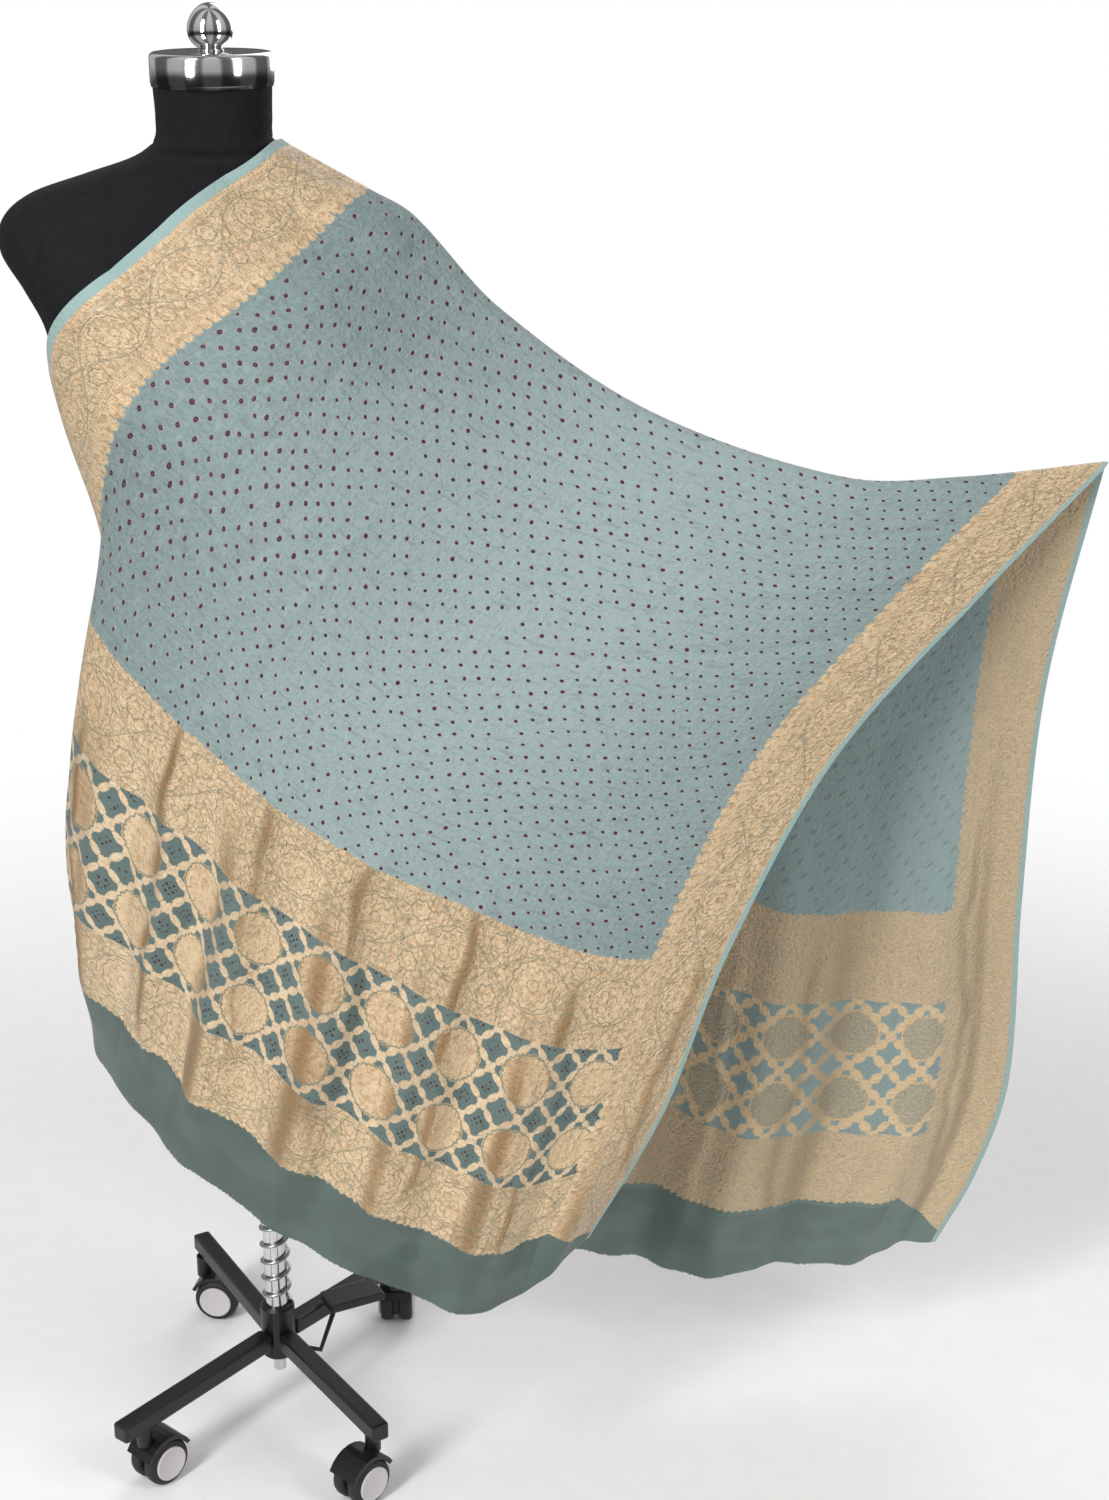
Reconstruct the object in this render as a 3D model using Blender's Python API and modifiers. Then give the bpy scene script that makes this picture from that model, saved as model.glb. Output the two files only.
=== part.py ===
"""Bandhani cloth folded over one shoulder of a dress form on a caster stand.

Metres, +Z up, front towards -Y. Everything is laid out from the middle of the form,
then one empty carries it all to the origin, in the middle of the part's box on the floor.
"""
import math
from collections import namedtuple

import bmesh
import bpy
from mathutils import Matrix, Vector

# Cloth: one woven length, measured from selvedge A (neck side) to selvedge B (held-out side)
CLOTH_WIDTH = 0.91
FRONT_LENGTH = 1.04
BACK_LENGTH = 0.97
CLOTH_THICKNESS = 0.0015
RIDGE_RADIUS = 0.007
FORM_CLEARANCE = 0.0065
CLOTH_COLUMNS = 40
FRONT_ROWS = 20
BACK_ROWS = 14
SHOULDER_STEPS = (0.0, 0.006, 0.014, 0.026, 0.045, 0.07, 0.10)

# Dress form
FORM_POWER = 2.3
FORM_SIDES = 40
FORM_RINGS = 22
ARMHOLE_Z = 1.20
BUST_HEIGHT = 1.155
BUST_HALF_SPREAD = 0.075
BUST_RISE = 0.020
BUST_RADIUS = 0.058
SHARP_DEGREES = 50.0
CAP_RADIUS = 0.0575
CAP_HEIGHT = 0.031
CAP_SIDES = 40
# Rounding of the cap's upper rim: how far in from the rim, and how far down from the top
CAP_RIM = ((0.006, 0.0), (0.002, 0.001), (0.0, 0.004))
CAP_LIP = 0.001
CAP_LIP_HEIGHT = 0.004
KNOB_HEIGHT = 0.043
KNOB_RADIUS = 0.0212
KNOB_TAPER = 0.12
KNOB_FOOT_RADIUS = 0.012
KNOB_FOOT_HEIGHT = 0.0015
KNOB_STEPS = 10
KNOB_SIDES = 32

# How the cloth is kept off the form: step for slopes, passes, and margin below the form
SLOPE_STEP = 0.001
CLEARING_PASSES = 4
CLEARING_MARGIN = 0.01
FOLD_SLOPE_STEP = 0.01

# Stand: its pole lies this far to the side of the form's middle
STAND_X = 0.008
POLE_RADIUS = 0.0125
POLE_SIDES = 24
SPRING_WIRE_RADIUS = 0.0018
SPRING_PITCH = 0.021
SPRING_TURNS = 5
SPRING_STEPS_PER_TURN = 12
HUB_RADIUS = 0.019
HUB_BOTTOM_Z = 0.062
HUB_TOP_Z = 0.126
HUB_TOP_BEVEL = 0.003
HUB_BOTTOM_BEVEL = 0.002
HUB_SIDES = 32
TAIL_RADIUS = 0.007
TAIL_BOTTOM_Z = 0.040
TAIL_BEVEL = 0.002
TAIL_SIDES = 16
ARM_SIZE = 0.020
ARM_AXIS_Z = 0.087
ARM_BEVEL = 0.003
PEDAL_PAD = (0.066, 0.038, 0.010)
PEDAL_CENTRE = (0.080, 0.044, 0.106)
PEDAL_DEGREES = 27.0
PEDAL_BEVEL = 0.003
LEVER_RADIUS = 0.003
LEVER_TOP_LENGTH = 0.006
LEVER_FOOT = (0.048, -0.012, 0.0720)
LEVER_TOP = (0.060, 0.034)

# Casters
WHEEL_RADIUS = 0.026
WHEEL_WIDTH = 0.015
WHEEL_SIDES = 24
WHEEL_GAP = 0.007
WHEEL_BEVEL = 0.003
DISC_RADIUS = 0.0190
DISC_THICKNESS = 0.0022
DISC_BEVEL = 0.0006
DISC_SIDES = 20
STEM_RADIUS = 0.0085
STEM_SIDES = 20
TRAIL = 0.018
FORK_TOP_Z = 0.0695
FENDER_INNER = 0.0269
FENDER_OUTER = 0.0315
FENDER_DEGREES = (25.0, 155.0)
FENDER_STEPS = 8
WEB_RADIUS = 0.020
WEB_STEPS = 12

# Space between neighbouring solids, and distances within which a solid's own points are joined
SEAT_GAP = 0.0003
TURN_MERGE = 0.00005
PLATE_MERGE = 0.00001

# Places along the cloth's width where each section row gives a point
ACROSS = (0.0, 0.10, 0.15, 0.27, 0.45, 0.65, 0.77, 0.91)

# One row per section across the cloth: distance from the shoulder fold, then the section's points
Section = namedtuple("Section", "along edge_a inner_a crest breast middle far inner_b edge_b")

RIDGE = Section(
    0.0, (0.060, 0.0, 1.392), (0.145, 0.0, 1.345), (0.184, 0.0, 1.322), (0.265, -0.010, 1.236),
    (0.410, -0.030, 1.140), (0.597, -0.045, 1.079), (0.711, -0.052, 1.081), (0.847, -0.060, 1.098))

FRONT_SECTIONS = (
    RIDGE,
    Section(
        0.18, (-0.036, -0.085, 1.329), (0.053, -0.115, 1.270), (0.093, -0.125, 1.242),
        (0.164, -0.120, 1.160), (0.304, -0.090, 1.052), (0.485, -0.080, 0.979),
        (0.594, -0.077, 0.966), (0.732, -0.070, 0.971)),
    Section(
        0.40, (-0.154, -0.030, 1.197), (-0.070, -0.120, 1.164), (-0.022, -0.150, 1.125),
        (0.055, -0.160, 1.033), (0.183, -0.140, 0.913), (0.362, -0.120, 0.832),
        (0.461, -0.106, 0.804), (0.594, -0.090, 0.809)),
    Section(
        0.62, (-0.105, 0.060, 1.000), (-0.140, 0.000, 0.950), (-0.128, -0.060, 0.932),
        (-0.039, -0.130, 0.861), (0.094, -0.160, 0.757), (0.264, -0.150, 0.665),
        (0.372, -0.137, 0.620), (0.494, -0.110, 0.612)),
    Section(
        0.82, (-0.120, 0.085, 0.800), (-0.171, 0.030, 0.745), (-0.180, -0.030, 0.705),
        (-0.085, -0.130, 0.664), (0.048, -0.180, 0.576), (0.214, -0.180, 0.466),
        (0.317, -0.168, 0.433), (0.430, -0.130, 0.440)),
    Section(
        1.04, (-0.110, 0.125, 0.590), (-0.165, 0.075, 0.520), (-0.178, 0.015, 0.475),
        (-0.128, -0.090, 0.431), (-0.007, -0.170, 0.354), (0.157, -0.200, 0.271),
        (0.252, -0.195, 0.244), (0.353, -0.130, 0.291)),
)

BACK_SECTIONS = (
    RIDGE,
    Section(
        0.24, (0.040, 0.125, 1.150), (0.124, 0.120, 1.120), (0.168, 0.110, 1.081),
        (0.254, 0.070, 1.007), (0.407, 0.030, 0.907), (0.605, 0.010, 0.844),
        (0.708, 0.003, 0.845), (0.816, -0.010, 0.851)),
    Section(
        0.48, (0.033, 0.135, 0.914), (0.111, 0.140, 0.879), (0.153, 0.130, 0.838),
        (0.244, 0.100, 0.746), (0.405, 0.060, 0.642), (0.594, 0.050, 0.580),
        (0.702, 0.043, 0.586), (0.816, 0.030, 0.602)),
    Section(
        0.73, (0.030, 0.130, 0.678), (0.104, 0.140, 0.638), (0.141, 0.140, 0.591),
        (0.230, 0.110, 0.507), (0.385, 0.080, 0.399), (0.568, 0.060, 0.348),
        (0.694, 0.068, 0.345), (0.822, 0.060, 0.366)),
    Section(
        0.86, (0.031, 0.130, 0.560), (0.100, 0.145, 0.516), (0.135, 0.145, 0.467),
        (0.217, 0.115, 0.376), (0.363, 0.086, 0.259), (0.543, 0.061, 0.224),
        (0.664, 0.072, 0.225), (0.797, 0.080, 0.240)),
    Section(
        0.97, (0.033, 0.130, 0.461), (0.097, 0.150, 0.414), (0.130, 0.150, 0.363),
        (0.204, 0.120, 0.264), (0.342, 0.090, 0.137), (0.519, 0.060, 0.118),
        (0.629, 0.073, 0.125), (0.756, 0.090, 0.141)),
)

# One row per soft fold: where it lies across the cloth, where along it starts to rise and is full,
# how far it drifts across on the way, its half width, and its height out of the cloth
Fold = namedtuple("Fold", "across start full drift half_width height")

FRONT_FOLDS = (
    Fold(0.20, 0.55, 0.85, 0.00, 0.020, -0.008),
    Fold(0.31, 0.58, 0.80, 0.01, 0.022, 0.010),
    Fold(0.365, 0.58, 0.78, 0.01, 0.018, -0.010),
    Fold(0.42, 0.60, 0.80, 0.01, 0.020, 0.008),
    Fold(0.485, 0.60, 0.78, 0.01, 0.018, -0.010),
    Fold(0.54, 0.60, 0.80, 0.00, 0.018, 0.009),
    Fold(0.60, 0.62, 0.80, 0.00, 0.017, -0.008),
    Fold(0.66, 0.62, 0.82, 0.00, 0.018, 0.010),
    Fold(0.72, 0.62, 0.82, 0.00, 0.017, -0.010),
    Fold(0.79, 0.70, 1.00, 0.00, 0.020, 0.012),
    Fold(0.85, 0.75, 1.04, 0.00, 0.018, -0.010),
)

BACK_FOLDS = (
    Fold(0.33, 0.30, 0.80, 0.00, 0.032, -0.016),
    Fold(0.43, 0.30, 0.80, 0.00, 0.030, 0.018),
    Fold(0.53, 0.30, 0.80, 0.00, 0.028, -0.016),
    Fold(0.62, 0.20, 0.75, 0.00, 0.028, 0.014),
    Fold(0.71, 0.20, 0.75, 0.00, 0.026, -0.014),
    Fold(0.80, 0.15, 0.70, 0.00, 0.022, 0.010),
    Fold(0.87, 0.15, 0.60, 0.00, 0.018, -0.010),
)

# One row per level of the form: reach from its middle to each side, the front and the back
Level = namedtuple("Level", "z left right front back")

FORM_LEVELS = (
    Level(0.720, 0.146, 0.146, 0.098, 0.108),
    Level(0.800, 0.156, 0.156, 0.106, 0.122),
    Level(0.880, 0.142, 0.142, 0.098, 0.108),
    Level(0.950, 0.118, 0.118, 0.086, 0.088),
    Level(1.030, 0.126, 0.126, 0.096, 0.088),
    Level(1.120, 0.150, 0.148, 0.112, 0.098),
    Level(1.170, 0.161, 0.154, 0.114, 0.102),
    Level(1.220, 0.170, 0.161, 0.106, 0.102),
    Level(1.255, 0.188, 0.178, 0.094, 0.098),
    Level(1.290, 0.208, 0.188, 0.078, 0.088),
    Level(1.320, 0.204, 0.165, 0.064, 0.074),
    Level(1.343, 0.176, 0.129, 0.054, 0.062),
    Level(1.360, 0.126, 0.096, 0.051, 0.057),
    Level(1.376, 0.078, 0.072, 0.051, 0.056),
    Level(1.392, 0.057, 0.055, 0.051, 0.055),
    Level(1.412, 0.054, 0.054, 0.051, 0.053),
    Level(1.440, 0.055, 0.055, 0.052, 0.053),
)
NECK_TOP = FORM_LEVELS[-1].z
FORM_BOTTOM = FORM_LEVELS[0].z

# One row per leg of the stand: end of its arm, its caster's stem, and where the wheels' axle points
Leg = namedtuple("Leg", "name end_x end_y stem_x stem_y axle_degrees")

LEGS = (
    Leg("front_left", -0.1465, -0.188, -0.127, -0.156, -41.0),
    Leg("front_right", 0.128, -0.187, 0.117, -0.164, 138.0),
    Leg("rear_left", -0.114, 0.195, -0.109, 0.176, -100.0),
    Leg("rear_right", 0.143, 0.172, 0.1215, 0.146, 0.0),
)


def clear_scene():
    for item in list(bpy.data.objects):
        bpy.data.objects.remove(item, do_unlink=True)


def make_collection(name):
    group = bpy.data.collections.new(name)
    bpy.context.scene.collection.children.link(group)
    return group


def make_material(name, color, roughness, metallic=0.0):
    material = bpy.data.materials.new(name)
    material.use_nodes = True
    shader = material.node_tree.nodes["Principled BSDF"]
    shader.inputs["Base Color"].default_value = (*color, 1.0)
    shader.inputs["Roughness"].default_value = roughness
    shader.inputs["Metallic"].default_value = metallic
    return material


def spline(knots, values, position):
    """Smooth curve through values at uneven knots; works for numbers and for vectors."""
    last = len(knots) - 1
    index = 0
    while index < last - 1 and position > knots[index + 1]:
        index += 1

    def slope(at):
        low, high = max(at - 1, 0), min(at + 1, last)
        return (values[high] - values[low]) / (knots[high] - knots[low])

    span = knots[index + 1] - knots[index]
    t = (position - knots[index]) / span
    rise = t * t * (3.0 - 2.0 * t)
    start_pull = t * (1.0 - t) ** 2
    end_pull = t * t * (t - 1.0)
    return (values[index] * (1.0 - rise) + values[index + 1] * rise
            + slope(index) * (span * start_pull) + slope(index + 1) * (span * end_pull))


def smooth_step(low, high, value):
    t = min(max((value - low) / (high - low), 0.0), 1.0)
    return t * t * (3.0 - 2.0 * t)


def signed_power(value, power):
    return math.copysign(abs(value) ** power, value)


LEVEL_HEIGHTS = [level.z for level in FORM_LEVELS]


def form_reach(z):
    """The form's reach to the left, right, front and back at a height."""
    height = min(max(z, FORM_BOTTOM), NECK_TOP)
    return [spline(LEVEL_HEIGHTS, [getattr(level, side) for level in FORM_LEVELS], height)
            for side in ("left", "right", "front", "back")]


def bust_rise(x, z):
    """How far the bust stands out of the form's front at a place."""
    sideways = (abs(x) - BUST_HALF_SPREAD) / BUST_RADIUS
    upward = (z - BUST_HEIGHT) / BUST_RADIUS
    return BUST_RISE * math.exp(-sideways * sideways - upward * upward)


def form_distance(point):
    """Nearly the distance from a point to the form's skin, negative inside it."""
    def value(x, y, z):
        left, right, front, back = form_reach(z)
        half_width = right if x > 0.0 else left
        depth = front + bust_rise(x, z) if y < 0.0 else back
        ratio = abs(x / half_width) ** FORM_POWER + abs(y / depth) ** FORM_POWER
        return ratio ** (1.0 / FORM_POWER) - 1.0

    here = value(*point)
    steps = [Vector((SLOPE_STEP, 0, 0)), Vector((0, SLOPE_STEP, 0)), Vector((0, 0, SLOPE_STEP))]
    gradient = Vector([
        (value(*(point + step)) - value(*(point - step))) / (2.0 * SLOPE_STEP) for step in steps])
    return here / gradient.length, gradient.normalized()


def clear_of_form(point):
    """The point, moved off the form's skin where the cloth would touch it."""
    for _ in range(CLEARING_PASSES):
        if not FORM_BOTTOM - CLEARING_MARGIN < point.z < NECK_TOP:
            break
        distance, outward = form_distance(point)
        if distance >= FORM_CLEARANCE:
            break
        point = point + outward * (FORM_CLEARANCE - distance)
    return point


def ring_height(share):
    """Heights of the form's rings: even below the armholes, closer together over the shoulders."""
    if share < 0.5:
        return FORM_BOTTOM + (ARMHOLE_Z - FORM_BOTTOM) * share * 2.0
    return ARMHOLE_Z + (NECK_TOP - ARMHOLE_Z) * (share - 0.5) * 2.0


def build_form(group, jersey):
    mesh = bpy.data.meshes.new("form_body")
    shape = bmesh.new()
    rings = []
    for ring in range(FORM_RINGS + 1):
        z = ring_height(ring / FORM_RINGS)
        left, right, front, back = form_reach(z)
        points = []
        for side in range(FORM_SIDES):
            angle = 2.0 * math.pi * side / FORM_SIDES
            x = signed_power(math.cos(angle), 2.0 / FORM_POWER)
            y = signed_power(math.sin(angle), 2.0 / FORM_POWER)
            x *= right if x > 0.0 else left
            forward = front + bust_rise(x, z)
            y *= forward if y < 0.0 else back
            points.append(shape.verts.new((x, y, z)))
        rings.append(points)
    for lower, upper in zip(rings, rings[1:]):
        for side in range(FORM_SIDES):
            after = (side + 1) % FORM_SIDES
            shape.faces.new((lower[side], lower[after], upper[after], upper[side]))
    shape.faces.new(reversed(rings[0]))
    shape.faces.new(rings[-1])
    shape.to_mesh(mesh)
    shape.free()
    mesh.shade_smooth()
    mesh.set_sharp_from_angle(angle=math.radians(SHARP_DEGREES))
    return add_object(group, "form_body", mesh, jersey)


def section_point(section, across):
    return spline(ACROSS, [Vector(point) for point in section[1:]], across)


def fold_height(folds, across, along):
    height = 0.0
    for fold in folds:
        rise = smooth_step(fold.start, fold.full, along)
        offset = (across - fold.across - fold.drift * rise) / fold.half_width
        height += fold.height * rise * math.exp(-offset * offset)
    return height


def draped_point(across, along):
    """Middle of the cloth without its small folds: along is positive down the front."""
    sections = FRONT_SECTIONS if along >= 0.0 else BACK_SECTIONS
    length = sections[-1].along
    distance = abs(along)
    eased = math.hypot(distance, RIDGE_RADIUS) - RIDGE_RADIUS * (1.0 - distance / length)
    knots = [section.along for section in sections]
    points = [section_point(section, across) for section in sections]
    point = spline(knots, points, min(eased, length))
    point.y -= RIDGE_RADIUS * math.tanh(along / RIDGE_RADIUS)
    return point


def sheet_point(across, along):
    """Middle of the cloth with its folds, kept off the form."""
    point = draped_point(across, along)
    height = fold_height(FRONT_FOLDS if along >= 0.0 else BACK_FOLDS, across, abs(along))
    if height:
        step = FOLD_SLOPE_STEP
        sideways = draped_point(across + step, along) - draped_point(across - step, along)
        lengthways = draped_point(across, along + step) - draped_point(across, along - step)
        point = point + sideways.cross(lengthways).normalized() * height
    return clear_of_form(point)


def row_positions():
    """Distances along the cloth of its rows, close together where it turns over the shoulder."""
    def run(length, count):
        start = SHOULDER_STEPS[-1]
        return [start + (length - start) * step / count for step in range(1, count + 1)]

    front = list(SHOULDER_STEPS[1:]) + run(FRONT_LENGTH, FRONT_ROWS)
    back = list(SHOULDER_STEPS[1:]) + run(BACK_LENGTH, BACK_ROWS)
    return [-distance for distance in reversed(back)] + [0.0] + front


def build_cloth(group, silk):
    mesh = bpy.data.meshes.new("bandhani_cloth")
    shape = bmesh.new()
    rows = []
    for along in row_positions():
        row = []
        for column in range(CLOTH_COLUMNS + 1):
            across = CLOTH_WIDTH * column / CLOTH_COLUMNS
            row.append(shape.verts.new(sheet_point(across, along)))
        rows.append(row)
    for lower, upper in zip(rows, rows[1:]):
        for column in range(CLOTH_COLUMNS):
            shape.faces.new((lower[column], upper[column], upper[column + 1], lower[column + 1]))
    shape.to_mesh(mesh)
    shape.free()
    mesh.shade_smooth()
    cloth = add_object(group, "bandhani_cloth", mesh, silk)
    solidify = cloth.modifiers.new("Thickness", "SOLIDIFY")
    solidify.thickness = CLOTH_THICKNESS
    solidify.offset = 0.0
    return cloth


def add_object(group, name, data, material):
    item = bpy.data.objects.new(name, data)
    data.materials.append(material)
    group.objects.link(item)
    return item


def turned(group, name, profile, material, steps):
    """A solid turned round +Z from radius and height pairs that run top to bottom."""
    mesh = bpy.data.meshes.new(name)
    shape = bmesh.new()
    verts = [shape.verts.new((radius, 0.0, height)) for radius, height in profile]
    for first, second in zip(verts, verts[1:]):
        shape.edges.new((first, second))
    shape.to_mesh(mesh)
    shape.free()
    item = add_object(group, name, mesh, material)
    screw = item.modifiers.new("Turn", "SCREW")
    screw.steps = steps
    screw.render_steps = steps
    screw.use_merge_vertices = True
    screw.merge_threshold = TURN_MERGE
    screw.use_smooth_shade = True
    return item


def beveled_box(group, name, size, material, bevel):
    mesh = bpy.data.meshes.new(name)
    shape = bmesh.new()
    bmesh.ops.create_cube(shape, size=1.0)
    bmesh.ops.scale(shape, vec=size, verts=shape.verts)
    shape.to_mesh(mesh)
    shape.free()
    item = add_object(group, name, mesh, material)
    edge = item.modifiers.new("Round", "BEVEL")
    edge.width = bevel
    edge.segments = 2
    edge.limit_method = "ANGLE"
    return item


def disc_profile(radius, half_width, bevel):
    """Top to bottom outline of a wheel or disc with beveled rims."""
    return [
        (0.0, half_width), (radius - bevel, half_width), (radius, half_width - bevel),
        (radius, bevel - half_width), (radius - bevel, -half_width), (0.0, -half_width)]


def rod_profile(radius, top, bottom):
    """Top to bottom outline of a plain round bar."""
    return [(0.0, top), (radius, top), (radius, bottom), (0.0, bottom)]


def build_cap(group, chrome):
    bottom = NECK_TOP + SEAT_GAP
    top = bottom + CAP_HEIGHT
    outline = [(0.0, top)]
    outline += [(CAP_RADIUS - inward, top - down) for inward, down in CAP_RIM]
    outline += [
        (CAP_RADIUS, NECK_TOP + CAP_LIP_HEIGHT), (CAP_RADIUS - CAP_LIP, bottom), (0.0, bottom)]
    turned(group, "neck_cap", outline, chrome, CAP_SIDES)

    foot = top + SEAT_GAP
    egg = [(0.0, foot + KNOB_HEIGHT)]
    for step in range(1, KNOB_STEPS - 1):
        angle = math.pi * step / KNOB_STEPS
        lift = 0.5 * KNOB_HEIGHT * (1.0 + math.cos(angle))
        girth = KNOB_RADIUS * math.sin(angle) * (1.0 - KNOB_TAPER * math.cos(angle))
        egg.append((girth, foot + lift))
    egg += [
        (KNOB_FOOT_RADIUS, foot + KNOB_FOOT_HEIGHT), (KNOB_FOOT_RADIUS, foot), (0.0, foot)]
    turned(group, "cap_knob", egg, chrome, KNOB_SIDES)


def build_pole(group, chrome, spring_steel):
    top = FORM_BOTTOM - SEAT_GAP
    foot = HUB_TOP_Z + SEAT_GAP
    turned(group, "pole", rod_profile(POLE_RADIUS, top, foot), chrome, POLE_SIDES)
    tail_top = HUB_BOTTOM_Z - SEAT_GAP
    turned(group, "pole_tail", [
        (0.0, tail_top), (TAIL_RADIUS, tail_top), (TAIL_RADIUS, TAIL_BOTTOM_Z + TAIL_BEVEL),
        (TAIL_RADIUS - TAIL_BEVEL, TAIL_BOTTOM_Z), (0.0, TAIL_BOTTOM_Z)], chrome, TAIL_SIDES)

    # The coil's corners lie a little outside its round line, so that its flats clear the pole
    round_line = POLE_RADIUS + SPRING_WIRE_RADIUS + SEAT_GAP
    coil_radius = round_line / math.cos(math.pi / SPRING_STEPS_PER_TURN)
    bottom = HUB_TOP_Z + SEAT_GAP + SPRING_WIRE_RADIUS
    points = []
    for step in range(SPRING_TURNS * SPRING_STEPS_PER_TURN + 1):
        turns = step / SPRING_STEPS_PER_TURN
        angle = 2.0 * math.pi * turns
        height = bottom + SPRING_PITCH * turns
        points.append((coil_radius * math.cos(angle), coil_radius * math.sin(angle), height))
    tube(group, "pole_spring", points, SPRING_WIRE_RADIUS, spring_steel)


def tube(group, name, points, radius, material):
    curve = bpy.data.curves.new(name, "CURVE")
    curve.dimensions = "3D"
    curve.bevel_depth = radius
    curve.bevel_resolution = 2
    curve.use_fill_caps = True
    route = curve.splines.new("POLY")
    route.points.add(len(points) - 1)
    for target, point in zip(route.points, points):
        target.co = (*point, 1.0)
    return add_object(group, name, curve, material)


def build_hub(group, black):
    turned(group, "stand_hub", [
        (0.0, HUB_TOP_Z), (HUB_RADIUS - HUB_TOP_BEVEL, HUB_TOP_Z),
        (HUB_RADIUS, HUB_TOP_Z - HUB_TOP_BEVEL), (HUB_RADIUS, HUB_BOTTOM_Z + HUB_BOTTOM_BEVEL),
        (HUB_RADIUS - HUB_BOTTOM_BEVEL, HUB_BOTTOM_Z), (0.0, HUB_BOTTOM_Z)], black, HUB_SIDES)


def build_pedal(group, black):
    pad = beveled_box(group, "pedal_pad", PEDAL_PAD, black, PEDAL_BEVEL)
    pad.location = PEDAL_CENTRE
    turn = math.radians(PEDAL_DEGREES)
    pad.rotation_euler = (0.0, 0.0, turn)
    seat_z = PEDAL_CENTRE[2] - 0.5 * PEDAL_PAD[2] - SEAT_GAP
    foot = Vector(LEVER_FOOT)
    start = Vector((foot.x, foot.y, 0.0)).normalized() * (HUB_RADIUS + SEAT_GAP)
    start.z = foot.z
    tube(group, "pedal_lever", [
        start, foot, (*LEVER_TOP, seat_z - LEVER_TOP_LENGTH), (*LEVER_TOP, seat_z)],
        LEVER_RADIUS, black)


def arc_points(radius, start_degrees, end_degrees, count):
    """Points on an arc about the wheels' axle, in the plane across it."""
    points = []
    for step in range(count + 1):
        angle = math.radians(start_degrees + (end_degrees - start_degrees) * step / count)
        points.append((radius * math.cos(angle), radius * math.sin(angle)))
    return points


def plate(group, name, outline, thickness, material):
    """A flat piece across the axle, cut to an outline, as a closed mesh."""
    curve = bpy.data.curves.new(name, "CURVE")
    curve.dimensions = "2D"
    curve.fill_mode = "BOTH"
    curve.extrude = 0.5 * thickness
    edge = curve.splines.new("POLY")
    edge.points.add(len(outline) - 1)
    for target, (x, y) in zip(edge.points, outline):
        target.co = (x, y, 0.0, 1.0)
    edge.use_cyclic_u = True
    draft = bpy.data.objects.new(name + "_outline", curve)
    group.objects.link(draft)
    bpy.context.view_layer.update()
    graph = bpy.context.evaluated_depsgraph_get()
    mesh = bpy.data.meshes.new_from_object(draft.evaluated_get(graph))
    bpy.data.objects.remove(draft)
    shape = bmesh.new()
    shape.from_mesh(mesh)
    bmesh.ops.remove_doubles(shape, verts=shape.verts, dist=PLATE_MERGE)
    shape.to_mesh(mesh)
    shape.free()
    mesh.name = name
    mesh.materials.clear()
    return add_object(group, name, mesh, material)


def build_fork(group, joiners, leg, black):
    """Fender over both wheels, web between them and collar under the arm, as one casting."""
    name = "caster_fork_" + leg.name
    width = 2.0 * WHEEL_WIDTH + WHEEL_GAP
    low, high = FENDER_DEGREES
    outline = (arc_points(FENDER_OUTER, low, high, FENDER_STEPS)
               + arc_points(FENDER_INNER, high, low, FENDER_STEPS))
    fender = plate(group, name, outline, width, black)
    web_outline = (arc_points(0.5 * (FENDER_INNER + FENDER_OUTER), low, high, FENDER_STEPS)
                   + arc_points(WEB_RADIUS, high, low + 360.0, WEB_STEPS))
    web = plate(joiners, name + "_web", web_outline, WHEEL_GAP - 2.0 * SEAT_GAP, black)
    nearest = TRAIL - STEM_RADIUS
    collar_low = WHEEL_RADIUS + math.sqrt(FENDER_INNER ** 2 - nearest ** 2) + SEAT_GAP
    collar_outline = rod_profile(STEM_RADIUS, FORK_TOP_Z, collar_low)
    collar = turned(joiners, name + "_collar", collar_outline, black, STEM_SIDES)
    collar.location = (leg.stem_x, leg.stem_y, 0.0)
    for helper in (web, collar):
        helper.hide_render = True
        helper.display_type = "WIRE"
        join = fender.modifiers.new("Join", "BOOLEAN")
        join.operation = "UNION"
        join.object = helper
    return fender, web


def axle_rotation(axle, turn):
    """Lay a piece's +Z along the axle with its +X down, then turn it about the axle."""
    down = Vector((0.0, 0.0, -1.0))
    along = Vector((math.cos(axle), math.sin(axle), 0.0))
    upright = Matrix((down, along.cross(down), along)).transposed()
    return (upright @ Matrix.Rotation(turn, 3, "Z")).to_euler()


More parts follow.
